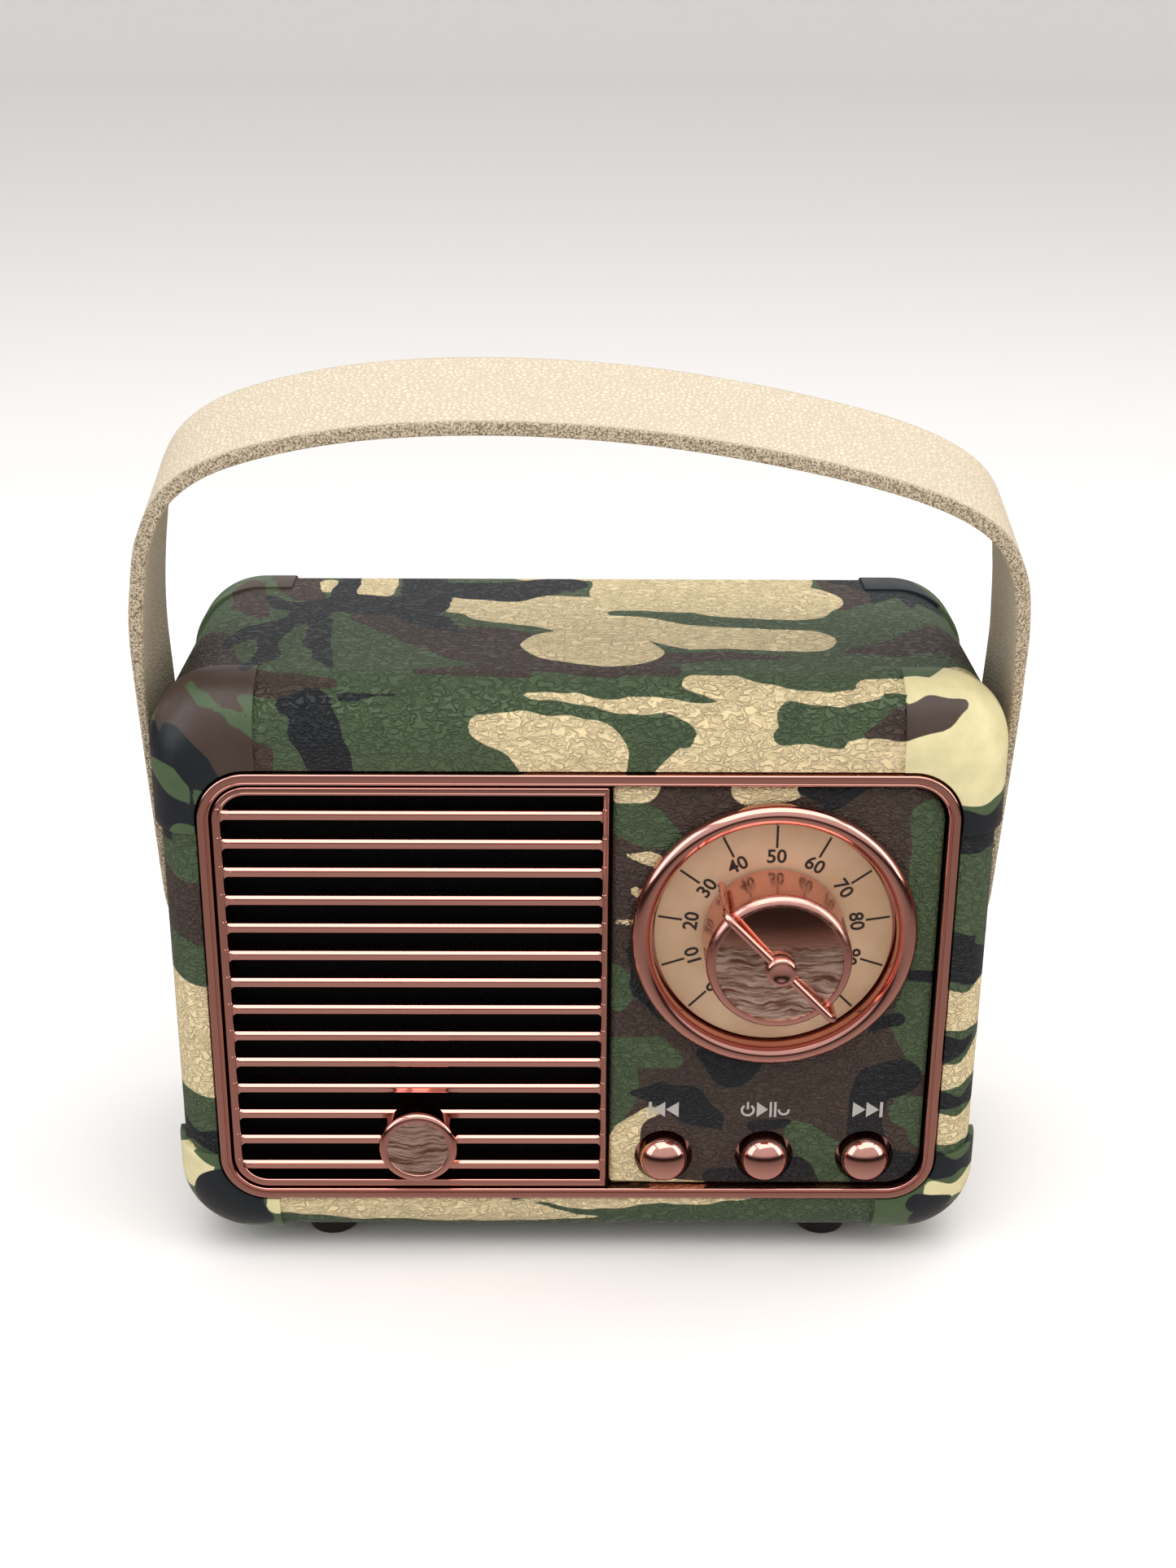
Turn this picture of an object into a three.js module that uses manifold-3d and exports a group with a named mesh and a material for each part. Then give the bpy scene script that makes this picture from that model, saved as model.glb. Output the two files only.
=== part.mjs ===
// A small retro radio: a leatherette-covered case with smooth corner guards, a chromed front frame round a
// louvred grille and a control panel, a tuning dial with a knob, three domed keys and a leather strap handle.
// X runs to the right, Y from the front to the back and Z up, in millimetres. The pieces are placed from the
// front plane of the chromed frame (y = 0) and the ground (z = 0); the last lines centre the whole radio.
import * as THREE from "three";
import { mergeVertices } from "three/addons/utils/BufferGeometryUtils.js";
import Module from "manifold-3d";

const wasm = await Module();
wasm.setup();

// ---- Driving dimensions ----

const gap = 0.3; // clearance between neighbouring pieces
const farOut = 200; // longer than anything that is cut

// Case
const caseHalfWidth = 53.7;
const caseBottom = 2.3;
const caseTop = 82.9;
const caseFront = 0.6;
const caseBack = 50;
const caseCorner = 9.5; // corner radius of the case seen from the front
const wall = 2.6;
// The soft edges round the front and the back: how deep each is, and how far it pulls in each face.
const frontRound = { depth: 8, side: 5.2, top: 8.5, bottom: 6.5, corner: 3, steps: 4 };
const backRound = { depth: 3, side: 2.2, top: 2.2, bottom: 2.2, corner: 1.2, steps: 2 };
const rearWallFront = 44.4;

// Corner guards
const guardHalfWidth = 54.5;
const guardThickness = 0.9;
const guardInnerX = 40.3;
const guardLegLow = 63.4; // lower end of an upper guard's leg on the side
const guardLegHigh = 16.6; // upper end of a lower guard's leg
const guardDepth = 8;

// Front
const centreZ = 40.8; // height of the middle of the frame
const frame = { halfWidth: 47.85, halfHeight: 30.85, corner: 6.3, band: 1.5, back: 4.9 };
const grilleArea = {
  left: -46.05,
  right: 3.7,
  halfHeight: 29.05,
  rim: 1.1,
  sideBar: 0.75,
  sideCorner: 0.3,
  front: 0.2,
  back: 3,
};
// bite: how far a louvre runs into the rim at each end
const louvre = { count: 14, pitch: 3.92, height: 1.3, drop: 0.3, front: 0.4, back: 2.6, bite: 0.4 };
const cloth = { front: 3.3, back: 3.8 };
const badge = { x: -21.2, z: 19.2, radius: 5.2, edge: 0.8, front: -2.4, back: 2.8 };
const panel = {
  left: 4.2,
  right: 46.05,
  halfHeight: 29.05,
  corner: 4.8,
  nearCorner: 0.6,
  front: 0.9,
  back: 2.9,
};
const baffle = { halfWidth: 47.5, halfHeight: 30.5, corner: 5, front: 5.2, back: 7.2 };
const baffleHole = { shaft: 3.5, stemSlack: 0.6 };

// Dial and knob
const dial = { x: 25, z: 49.4, hole: 16.6, plateFront: 1.3, plateBack: 2.1, plateBore: 2.6 };
const bezel = { outer: 18.4, inner: 15.7, sleeve: 16.3, ledge: 1.5, ledgeThickness: 0.8 };
const lip = { height: 1.4, seat: 0.3 };
const knob = { radius: 9.2, face: -8.4, edge: 1, back: 0.9, bore: 2.3, boreEnd: -3.3 };
const shaft = { radius: 2, front: -3, back: 13 };
// turn: degrees anticlockwise from the top
const pointer = { turn: 44, wire: 0.5, boss: 1.95, bossHeight: 1.5, edge: 0.5 };

// Keys
const keyX = [11.5, 25, 38.5];
const keyZ = 16.2;
const keyNames = ["previous", "play", "next"];
const key = { radius: 3.2, hole: 3.9, domeTop: -1.9, domeEdge: 0.4, stem: 1.5, stemEnd: 10.7 };
const keyFlange = { radius: 4.3, thickness: 0.8 };
const keySwitch = { half: 3, front: 12.4, plunger: 1.6, plungerFront: 11.6 };

// Handle
const pivot = { y: 24.7, z: 50.7 };
const lean = 14; // degrees the strap leans forward at rest
// The strap is skived thin where it passes the guards and thickens between these heights above the pivot.
const strap = { width: 18, thin: 1.3, thick: 1.9, thinTo: 30, thickFrom: 44, innerX: 54.8, hole: 2.1 };
const pivotScrew = { shaft: 1.6, head: 3.6, headHeight: 1.1, depth: 6 };

// Feet
const foot = { x: 34.2, frontY: 9.6, backY: 40.4, top: 4.1, bottom: 3.4, height: 2.3 };

// Rear
const rearOpening = { halfWidth: 42, halfHeight: 30, corner: 5 };
const rearCover = { halfWidth: 47, halfHeight: 34.6, corner: 6, front: 47.2, back: 48.3, ledge: 46.9 };
const rearScrew = { x: 43.2, z: 31, hole: 1.4, shaft: 1, head: 2.2, headHeight: 0.9, tip: 43.8 };
const rearZ = 42.6; // middle of the rear cover
const ports = { z: 62, halfWidth: 26, halfHeight: 6.5, corner: 2.7, plateFront: 45.7, plateBack: 47.9 };

// ---- Helpers ----

function paint(colour, roughness, metalness) {
  return new THREE.MeshStandardMaterial({ color: colour, roughness, metalness });
}

const leatherette = paint(0x3a5432, 0.62, 0);
const moulded = paint(0x4a4234, 0.42, 0);
const roseGold = paint(0xc98b7a, 0.12, 1);
const blackPlastic = paint(0x16171a, 0.5, 0);
const blackCloth = paint(0x0b0c0e, 0.9, 0);
const dialFinish = paint(0xd9ae8c, 0.4, 0.6);
const rubber = paint(0x101113, 0.8, 0);
const steel = paint(0xb8b9bb, 0.3, 1);
const strapLeather = paint(0xe3d3b8, 0.6, 0);
const boardGreen = paint(0x1d5b3a, 0.5, 0);
const cellWrap = paint(0x2b6ea8, 0.4, 0);
const conePaper = paint(0x1b1b1d, 0.8, 0);
const lightGuide = paint(0xdfe6ee, 0.2, 0);
const wireRed = paint(0xa32020, 0.5, 0);

function toSolid(geometry) {
  const bare = geometry.clone();
  bare.deleteAttribute("normal");
  bare.deleteAttribute("uv");
  const merged = mergeVertices(bare, 1e-4);
  return new wasm.Manifold(
    new wasm.Mesh({
      numProp: 3,
      vertProperties: merged.getAttribute("position").array,
      triVerts: new Uint32Array(merged.index.array),
    }),
  );
}

function toGeometry(solid) {
  const mesh = solid.getMesh();
  const geometry = new THREE.BufferGeometry();
  geometry.setAttribute("position", new THREE.BufferAttribute(mesh.vertProperties, 3));
  geometry.setIndex(new THREE.BufferAttribute(mesh.triVerts, 1));
  geometry.computeVertexNormals();
  return geometry;
}

function cut(body, ...tools) {
  return tools.reduce((solid, tool) => solid.subtract(tool), body);
}

function join(...pieces) {
  return pieces.reduce((solid, piece) => solid.add(piece));
}

function named(parent, name, shape, material) {
  const geometry = shape.isBufferGeometry ? shape : toGeometry(shape);
  const mesh = new THREE.Mesh(geometry, material);
  mesh.name = name;
  parent.add(mesh);
}

// A box between two corners.
function block(x0, x1, y0, y1, z0, z1) {
  const box = new THREE.BoxGeometry(x1 - x0, y1 - y0, z1 - z0);
  return toSolid(box.translate((x0 + x1) / 2, (y0 + y1) / 2, (z0 + z1) / 2));
}

// A round bar along Y.
function rod(x, z, radius, y0, y1, sides = 16) {
  const bar = new THREE.CylinderGeometry(radius, radius, y1 - y0, sides);
  return toSolid(bar.translate(x, (y0 + y1) / 2, z));
}

// A solid of revolution about an axis along Y through (x, z). The profile is a list of [radius, y] pairs; it is
// closed if it doesn't start and end on the axis, and reversed if its faces would point inwards.
function turned(x, z, profile, sides = 20) {
  const points = profile.map(([r, y]) => new THREE.Vector2(r, y));
  const closed = profile[0][0] > 0 || profile.at(-1)[0] > 0;
  if (closed) points.push(points[0].clone());
  if (THREE.ShapeUtils.area(points) < 0) points.reverse();
  return toSolid(new THREE.LatheGeometry(points, sides).translate(x, 0, z));
}

// Points [radius, y] on a circular or elliptical arc, angles in degrees.
function arc(centreR, centreY, radiusR, radiusY, from, to, steps) {
  return Array.from({ length: steps + 1 }, (_, i) => {
    const angle = THREE.MathUtils.degToRad(from + ((to - from) * i) / steps);
    return [centreR + radiusR * Math.cos(angle), centreY + radiusY * Math.sin(angle)];
  });
}

// A rounded rectangle in the XZ plane, as a Shape whose y is the height.
function roundedShape(left, right, low, high, radii) {
  const [leftRadius, rightRadius] = radii;
  const quarter = Math.PI / 2;
  const shape = new THREE.Shape();
  shape.moveTo(left + leftRadius, low);
  shape.lineTo(right - rightRadius, low);
  shape.absarc(right - rightRadius, low + rightRadius, rightRadius, -quarter, 0);
  shape.absarc(right - rightRadius, high - rightRadius, rightRadius, 0, quarter);
  shape.absarc(left + leftRadius, high - leftRadius, leftRadius, quarter, 2 * quarter);
  shape.absarc(left + leftRadius, low + leftRadius, leftRadius, 2 * quarter, 3 * quarter);
  return shape;
}

// A Shape in the XZ plane pulled from y0 to y1.
function pulled(shape, y0, y1, curveSegments = 2) {
  const depth = y1 - y0;
  const flat = new THREE.ExtrudeGeometry(shape, { depth, bevelEnabled: false, curveSegments });
  return toSolid(flat.rotateX(Math.PI / 2).translate(0, y1, 0));
}

function roundedPlate(centreX, centreHeight, halfWidth, halfHeight, corner, y0, y1) {
  const low = centreHeight - halfHeight;
  const high = centreHeight + halfHeight;
  const shape = roundedShape(centreX - halfWidth, centreX + halfWidth, low, high, [corner, corner]);
  return pulled(shape, y0, y1);
}

// The outline of the case at one depth: points round a rounded rectangle, anticlockwise from the front.
function outline(halfWidth, low, high, radius, steps = 3) {
  const corners = [
    [halfWidth - radius, low + radius, -90],
    [halfWidth - radius, high - radius, 0],
    [radius - halfWidth, high - radius, 90],
    [radius - halfWidth, low + radius, 180],
  ];
  return corners.flatMap(([x, z, start]) =>
    Array.from({ length: steps + 1 }, (_, i) => {
      const angle = THREE.MathUtils.degToRad(start + (90 * i) / steps);
      return [x + radius * Math.cos(angle), z + radius * Math.sin(angle)];
    }),
  );
}

// A closed box with soft edges: outlines at growing depth, joined by quads. How far the soft front and back
// edges pull in follows a quarter of an ellipse.
function softBox({ halfWidth, low, high, front, back, corner, frontEdge, backEdge }) {
  function quarterTurn(share) {
    const angle = (share * Math.PI) / 2;
    return { rise: 1 - Math.cos(angle), pull: 1 - Math.sin(angle) };
  }
  const stations = [];
  for (let i = 0; i <= frontEdge.steps; i += 1) {
    const { rise, pull } = quarterTurn(i / frontEdge.steps);
    stations.push({ y: front + frontEdge.depth * rise, pull, edge: frontEdge });
  }
  for (let i = backEdge.steps; i >= 0; i -= 1) {
    const { rise, pull } = quarterTurn(i / backEdge.steps);
    stations.push({ y: back - backEdge.depth * rise, pull, edge: backEdge });
  }
  const rings = stations.map(({ y, pull, edge }) =>
    outline(
      halfWidth - edge.side * pull,
      low + edge.bottom * pull,
      high - edge.top * pull,
      corner - edge.corner * pull,
    ).map(([x, z]) => [x, y, z]),
  );
  const around = rings[0].length;
  const middle = (low + high) / 2;
  const positions = rings.flat(2);
  positions.push(0, front, middle, 0, back, middle);
  const frontHub = rings.length * around;
  const faces = [];
  for (let j = 0; j < around; j += 1) {
    const next = (j + 1) % around;
    faces.push(frontHub, j, next);
    for (let k = 0; k + 1 < rings.length; k += 1) {
      const a = k * around;
      const b = a + around;
      faces.push(a + j, b + j, b + next, a + j, b + next, a + next);
    }
    const last = (rings.length - 1) * around;
    faces.push(frontHub + 1, last + next, last + j);
  }
  const geometry = new THREE.BufferGeometry();
  geometry.setAttribute("position", new THREE.Float32BufferAttribute(positions, 3));
  geometry.setIndex(faces);
  return toSolid(geometry);
}

// The case's soft box, grown by an amount all round, with its front and back where they are wanted.
function caseForm(grow, front, back) {
  return softBox({
    halfWidth: caseHalfWidth + grow,
    low: caseBottom - grow,
    high: caseTop + grow,
    front,
    back,
    corner: caseCorner + grow,
    frontEdge: frontRound,
    backEdge: backRound,
  });
}

const radio = new THREE.Group();

// ---- Corner guards and case ----

// The eight corners, each as a name and the box that its guard fills.
const corners = [];
for (const end of ["front", "rear"]) {
  for (const level of ["top", "bottom"]) {
    for (const side of ["left", "right"]) {
      corners.push({ end, level, side, name: `guard_${end}_${level}_${side}` });
    }
  }
}

function cornerZone({ end, level, side }, spare) {
  const x = side === "left" ? [-farOut, spare - guardInnerX] : [guardInnerX - spare, farOut];
  const y = end === "front" ? [-farOut, guardDepth + spare] : [caseBack - guardDepth - spare, farOut];
  const z = level === "top" ? [guardLegLow - spare, farOut] : [-farOut, guardLegHigh + spare];
  return block(...x, ...y, ...z);
}

const guardOuter = softBox({
  halfWidth: guardHalfWidth,
  low: caseBottom - gap,
  high: caseTop + gap,
  front: caseFront - gap,
  back: caseBack,
  corner: caseCorner + gap,
  frontEdge: { ...frontRound, side: frontRound.side + guardHalfWidth - caseHalfWidth },
  backEdge: { ...backRound, side: backRound.side + guardHalfWidth - caseHalfWidth },
});
const guardInner = caseForm(-guardThickness, caseFront + guardThickness, caseBack - guardThickness);
const seatDepth = guardThickness + gap;
const guardSeat = caseForm(-seatDepth, caseFront + seatDepth, caseBack - seatDepth);

const frameHoleBack = frame.back + 1.3;
const frameHole = roundedPlate(
  0, centreZ, frame.halfWidth + gap, frame.halfHeight + gap, frame.corner + gap, -farOut, frameHoleBack,
);
const rearHole = roundedPlate(
  0, rearZ, rearCover.halfWidth + gap, rearCover.halfHeight + gap, rearCover.corner, rearCover.ledge, farOut,
);

for (const corner of corners) {
  const guard = cut(guardOuter, guardInner).intersect(cornerZone(corner, 0));
  named(radio, corner.name, cut(guard, frameHole, rearHole), moulded);
}

const cavity = softBox({
  halfWidth: caseHalfWidth - wall,
  low: caseBottom + wall,
  high: caseTop - wall,
  front: caseFront + wall,
  back: rearWallFront,
  corner: caseCorner - wall,
  frontEdge: { depth: 5.4, side: 3.4, top: 5.9, bottom: 3.9, corner: 2, steps: 2 },
  backEdge: { depth: 0.8, side: 0.5, top: 0.5, bottom: 0.5, corner: 0.3, steps: 1 },
});

function alongX(radius, x0, x1, y, z, sides = 24) {
  const bar = new THREE.CylinderGeometry(radius, radius, x1 - x0, sides).rotateZ(Math.PI / 2);
  return toSolid(bar.translate((x0 + x1) / 2, y, z));
}

const rearScrewPlaces = [-1, 1].flatMap((sideSign) =>
  [-1, 1].map((levelSign) => [sideSign * rearScrew.x, rearZ + levelSign * rearScrew.z]),
);

let shell = cut(caseForm(0, caseFront, caseBack), cavity, frameHole, rearHole);
shell = cut(
  shell,
  roundedPlate(
    0, rearZ, rearOpening.halfWidth, rearOpening.halfHeight, rearOpening.corner, rearWallFront - wall, farOut,
  ),
  alongX(pivotScrew.shaft + gap, -farOut, farOut, pivot.y, pivot.z),
  ...rearScrewPlaces.map(([x, z]) => rod(x, z, rearScrew.hole, rearWallFront - wall, farOut, 8)),
);
const aroundGuards = cut(block(-farOut, farOut, -farOut, farOut, -farOut, farOut), guardSeat);
for (const corner of corners) shell = cut(shell, aroundGuards.intersect(cornerZone(corner, gap)));
named(radio, "cabinet_shell", shell, leatherette);

// ---- Front: frame, grille, cloth, badge, control panel and baffle ----

const frameOuter = roundedPlate(0, centreZ, frame.halfWidth, frame.halfHeight, frame.corner, 0, frame.back);
const frameInner = roundedPlate(
  0, centreZ,
  frame.halfWidth - frame.band, frame.halfHeight - frame.band, frame.corner - frame.band,
  -farOut, farOut,
);
named(radio, "front_frame", cut(frameOuter, frameInner), roseGold);

const grilleCorner = frame.corner - frame.band - gap;
const grilleLow = centreZ - grilleArea.halfHeight;
const grilleHigh = centreZ + grilleArea.halfHeight;
const grilleRim = pulled(
  roundedShape(grilleArea.left, grilleArea.right, grilleLow, grilleHigh, [grilleCorner, grilleArea.sideCorner]),
  grilleArea.front,
  grilleArea.back,
);
const grilleWindow = pulled(
  roundedShape(
    grilleArea.left + grilleArea.rim,
    grilleArea.right - grilleArea.sideBar,
    grilleLow + grilleArea.rim,
    grilleHigh - grilleArea.rim,
    [grilleCorner - grilleArea.rim, grilleArea.sideCorner],
  ),
  -farOut,
  farOut,
);
let grille = cut(grilleRim, grilleWindow);
for (let i = 0; i < louvre.count; i += 1) {
  const z = centreZ - louvre.drop + ((louvre.count - 1) / 2 - i) * louvre.pitch;
  const bar = block(
    grilleArea.left + louvre.bite, grilleArea.right - louvre.bite,
    louvre.front, louvre.back,
    z - louvre.height / 2, z + louvre.height / 2,
  );
  grille = grille.add(bar);
}
grille = cut(grille, rod(badge.x, badge.z, badge.radius + gap, -farOut, farOut, 20));
named(radio, "grille", grille, roseGold);

const badgeProfile = [
  [0, badge.back],
  [badge.radius, badge.back],
  ...arc(badge.radius - badge.edge, badge.front + badge.edge, badge.edge, badge.edge, 0, -90, 2),
  [0, badge.front],
];
named(radio, "grille_badge", turned(badge.x, badge.z, badgeProfile), roseGold);

const clothShape = roundedShape(
  grilleArea.left, grilleArea.right, grilleLow, grilleHigh, [grilleCorner, grilleArea.sideCorner],
);
named(radio, "grille_cloth", pulled(clothShape, cloth.front, cloth.back), blackCloth);

const panelPlate = pulled(
  roundedShape(
    panel.left, panel.right, centreZ - panel.halfHeight, centreZ + panel.halfHeight,
    [panel.nearCorner, panel.corner],
  ),
  panel.front,
  panel.back,
);
const keyHoles = keyX.map((x) => rod(x, keyZ, key.hole, -farOut, farOut));
const panelShape = cut(panelPlate, rod(dial.x, dial.z, dial.hole, -farOut, farOut, 36), ...keyHoles);
named(radio, "control_panel", panelShape, leatherette);

const speaker = { x: -21, z: centreZ, flange: 20, opening: 17.6, magnet: 11 };
const baffleShape = cut(
  roundedPlate(0, centreZ, baffle.halfWidth, baffle.halfHeight, baffle.corner, baffle.front, baffle.back),
  rod(speaker.x, speaker.z, speaker.opening, -farOut, farOut, 24),
  rod(dial.x, dial.z, baffleHole.shaft, -farOut, farOut),
  ...keyX.map((x) => rod(x, keyZ, key.stem + baffleHole.stemSlack, -farOut, farOut, 12)),
);
named(radio, "front_baffle", baffleShape, blackPlastic);

// ---- Dial ----

// The bezel's half-round lip stands on the panel, its sleeve reaches through the hole and its ledge holds the
// plate.
const lipWidth = (bezel.outer - bezel.inner) / 2;
const lipBack = panel.front - gap;
const ledgeFront = dial.plateBack + gap;
const ledgeBack = ledgeFront + bezel.ledgeThickness;
const bezelProfile = [
  [bezel.inner - bezel.ledge, ledgeFront],
  [bezel.inner, ledgeFront],
  ...arc(bezel.inner + lipWidth, lipBack - lip.seat, lipWidth, lip.height, -180, 0, 4),
  [bezel.outer, lipBack],
  [bezel.sleeve, lipBack],
  [bezel.sleeve, ledgeBack],
  [bezel.inner - bezel.ledge, ledgeBack],
];
named(radio, "dial_bezel", turned(dial.x, dial.z, bezelProfile, 32), roseGold);

const plateRadius = bezel.inner - gap;
const plateRing = cut(
  rod(dial.x, dial.z, plateRadius, dial.plateFront, dial.plateBack, 32),
  rod(dial.x, dial.z, dial.plateBore, -farOut, farOut),
);
named(radio, "dial_plate", plateRing, dialFinish);

// ---- Tuning knob: the knob, its bow-shaped pointer and its shaft turn together ----

const knobProfile = [
  [0, knob.boreEnd],
  [knob.bore, knob.boreEnd],
  [knob.bore, knob.back],
  [knob.radius, knob.back],
  ...arc(knob.radius - knob.edge, knob.face + knob.edge, knob.edge, knob.edge, 0, -90, 2),
  [0, knob.face],
];
named(radio, "tuning_knob", turned(dial.x, dial.z, knobProfile, 32), roseGold);

// The pointer is one wire bent over the knob: up one side, across the face and down the other side.
const wireOff = knob.radius + gap + pointer.wire;
const wireFront = knob.face - gap - pointer.wire;
const bow = new THREE.CurvePath();
const bend = 1.2; // radius of the wire's two corners
const bowLow = knob.back - gap - 0.3;
const bowPoint = (across, y) => new THREE.Vector3(across, y, 0);
bow.add(new THREE.LineCurve3(bowPoint(-wireOff, bowLow), bowPoint(-wireOff, wireFront + bend)));
bow.add(
  new THREE.QuadraticBezierCurve3(
    bowPoint(-wireOff, wireFront + bend), bowPoint(-wireOff, wireFront), bowPoint(bend - wireOff, wireFront),
  ),
);
bow.add(new THREE.LineCurve3(bowPoint(bend - wireOff, wireFront), bowPoint(wireOff - bend, wireFront)));
bow.add(
  new THREE.QuadraticBezierCurve3(
    bowPoint(wireOff - bend, wireFront), bowPoint(wireOff, wireFront), bowPoint(wireOff, wireFront + bend),
  ),
);
bow.add(new THREE.LineCurve3(bowPoint(wireOff, wireFront + bend), bowPoint(wireOff, bowLow)));
const wireSection = new THREE.Shape().absarc(0, 0, pointer.wire, 0, 2 * Math.PI);
const wireGeometry = new THREE.ExtrudeGeometry(wireSection, { steps: 30, curveSegments: 3, extrudePath: bow });
const bossFront = knob.face - gap - pointer.bossHeight;
const bossProfile = [
  [0, knob.face - gap],
  [pointer.boss, knob.face - gap],
  ...arc(pointer.boss - pointer.edge, bossFront + pointer.edge, pointer.edge, pointer.edge, 0, -90, 2),
  [0, bossFront],
];
const pointerShape = join(toSolid(wireGeometry), turned(0, 0, bossProfile, 16))
  .rotate([0, 90 - pointer.turn, 0])
  .translate([dial.x, 0, dial.z]);
named(radio, "knob_pointer", pointerShape, roseGold);
named(radio, "knob_shaft", rod(dial.x, dial.z, shaft.radius, shaft.front, shaft.back, 12), steel);

// The control has a threaded bush through the baffle and a round body behind it, open for the shaft.
const boardFront = 16;
const pot = { bush: 3.2, body: 8.5, bodyFront: baffle.back + 1.5, back: boardFront - gap };
const potProfile = [
  [0, shaft.back + 0.4],
  [knob.bore, shaft.back + 0.4],
  [knob.bore, baffle.front],
  [pot.bush, baffle.front],
  [pot.bush, pot.bodyFront],
  [pot.body, pot.bodyFront],
  [pot.body, pot.back],
  [0, pot.back],
];
named(radio, "tuning_pot", turned(dial.x, dial.z, potProfile, 16), steel);

// ---- Keys and their switches ----

const flangeFront = panel.back + gap;
const flangeBack = flangeFront + keyFlange.thickness;
const keyProfile = [
  [0, key.stemEnd],
  [key.stem, key.stemEnd],
  [key.stem, flangeBack],
  [keyFlange.radius, flangeBack],
  [keyFlange.radius, flangeFront],
  [key.radius, flangeFront],
  ...arc(0, key.domeEdge, key.radius, key.domeEdge - key.domeTop, 0, -90, 3).slice(0, -1),
  [0, key.domeTop],
];
for (const [index, x] of keyX.entries()) {
  named(radio, `key_${keyNames[index]}`, turned(x, keyZ, keyProfile, 18), roseGold);
  const { half, front, plunger, plungerFront } = keySwitch;
  const switchBody = join(
    block(x - half, x + half, front, boardFront - gap, keyZ - half, keyZ + half),
    rod(x, keyZ, plunger, plungerFront, front + 1, 10),
  );
  named(radio, `switch_${keyNames[index]}`, switchBody, blackPlastic);
}

// ---- Electronics behind the front ----

const boardThickness = 1.2;
const mainBoard = { left: 5, right: 46.5, low: 11, high: 66 };
const boardShape = block(
  mainBoard.left, mainBoard.right, boardFront, boardFront + boardThickness, mainBoard.low, mainBoard.high,
);
named(radio, "main_board", boardShape, boardGreen);

// The basket is a pressed cup: a flange on the baffle, a sloping wall and a rear ring for the magnet.
const flangeEnd = baffle.back + 1.1;
const basketBack = 17;
const basketProfile = [
  [speaker.opening + 0.4, baffle.back + gap],
  [speaker.flange, baffle.back + gap],
  [speaker.flange, flangeEnd],
  [speaker.opening + 1.2, flangeEnd],
  [9.4, basketBack],
  [8, basketBack],
  [8, basketBack - 1],
  [speaker.opening - 0.2, flangeEnd],
];
named(radio, "speaker_basket", turned(speaker.x, speaker.z, basketProfile, 24), steel);

// The cone, from its dust cap outwards to the rolled surround, and back along its rear.
const coneBack = 14.4;
const coneProfile = [
  [0, 9.4],
  [3.6, 10.2],
  [6.4, 13],
  [14.6, baffle.back + 0.9],
  [15.6, baffle.back + 0.4],
  [16.5, baffle.back + 0.9],
  [16.5, baffle.back + 1.3],
  [15, baffle.back + 1.6],
  [6.6, coneBack],
  [0, coneBack],
];
named(radio, "speaker_cone", turned(speaker.x, speaker.z, coneProfile, 20), conePaper);
const magnet = { front: basketBack + gap, back: 24.3 };
const magnetShape = rod(speaker.x, speaker.z, speaker.magnet, magnet.front, magnet.back, 20);
named(radio, "speaker_magnet", magnetShape, steel);

const cell = { x0: -42, x1: 23, y: 32, z: 16, radius: 9.1 };
named(radio, "battery_cell", alongX(cell.radius, cell.x0, cell.x1, cell.y, cell.z, 20), cellWrap);
const cradleSize = { end: 2, halfDepth: 11, rimDrop: 2, slack: 0.5 };
const cradle = cut(
  block(
    cell.x0 - cradleSize.end, cell.x1 + cradleSize.end,
    cell.y - cradleSize.halfDepth, cell.y + cradleSize.halfDepth,
    caseBottom + wall + gap, cell.z - cradleSize.rimDrop,
  ),
  alongX(cell.radius + cradleSize.slack, cell.x0 - gap, cell.x1 + gap, cell.y, cell.z, 20),
);
named(radio, "battery_cradle", cradle, blackPlastic);

// A round lead along hand-placed points.
function lead(points, radius, steps) {
  const path = new THREE.CatmullRomCurve3(points.map((p) => new THREE.Vector3(...p)));
  const section = new THREE.Shape().absarc(0, 0, radius, 0, 2 * Math.PI);
  return toSolid(new THREE.ExtrudeGeometry(section, { steps, curveSegments: 3, extrudePath: path }));
}

// Each lead is a twin lead: two cores that touch side by side.
const coreRadius = 0.6;
const coreSpacing = 1.1;
const speakerLead = [0, coreSpacing].map((up) =>
  lead([[-8.6, 18.6, 50 + up], [-4, 20, 54 + up], [2, 20.5, 57 + up], [9, 18.6, 58 + up]], coreRadius, 9),
);
named(radio, "speaker_lead", join(...speakerLead), wireRed);
const batteryLead = [0, coreSpacing].map((up) =>
  lead([[25.6, 32, 16 + up], [32, 31, 19 + up], [36, 26, 25 + up], [37, 18.4, 32 + up]], coreRadius, 9),
);
named(radio, "battery_lead", join(...batteryLead), wireRed);

// ---- Rear: cover, port plate, sockets and their board ----

const portRow = {
  charging: { x: -17, halfWidth: 4.6, halfHeight: 1.7, wall: 0.5 },
  card: { x: -3, halfWidth: 6.2, halfHeight: 1.1, wall: 0.4 },
  audio: { x: 10.5, radius: 3.1, bore: 1.75 },
  light: { x: 19.5, radius: 1 },
};
const portBack = 48;
const portBoardBack = 38.7;
const { charging, card, audio, light } = portRow;

function slotBox(port, spare, y0, y1) {
  return roundedPlate(
    port.x, ports.z, port.halfWidth + spare, port.halfHeight + spare, port.halfHeight + spare - 0.1, y0, y1,
  );
}

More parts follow.
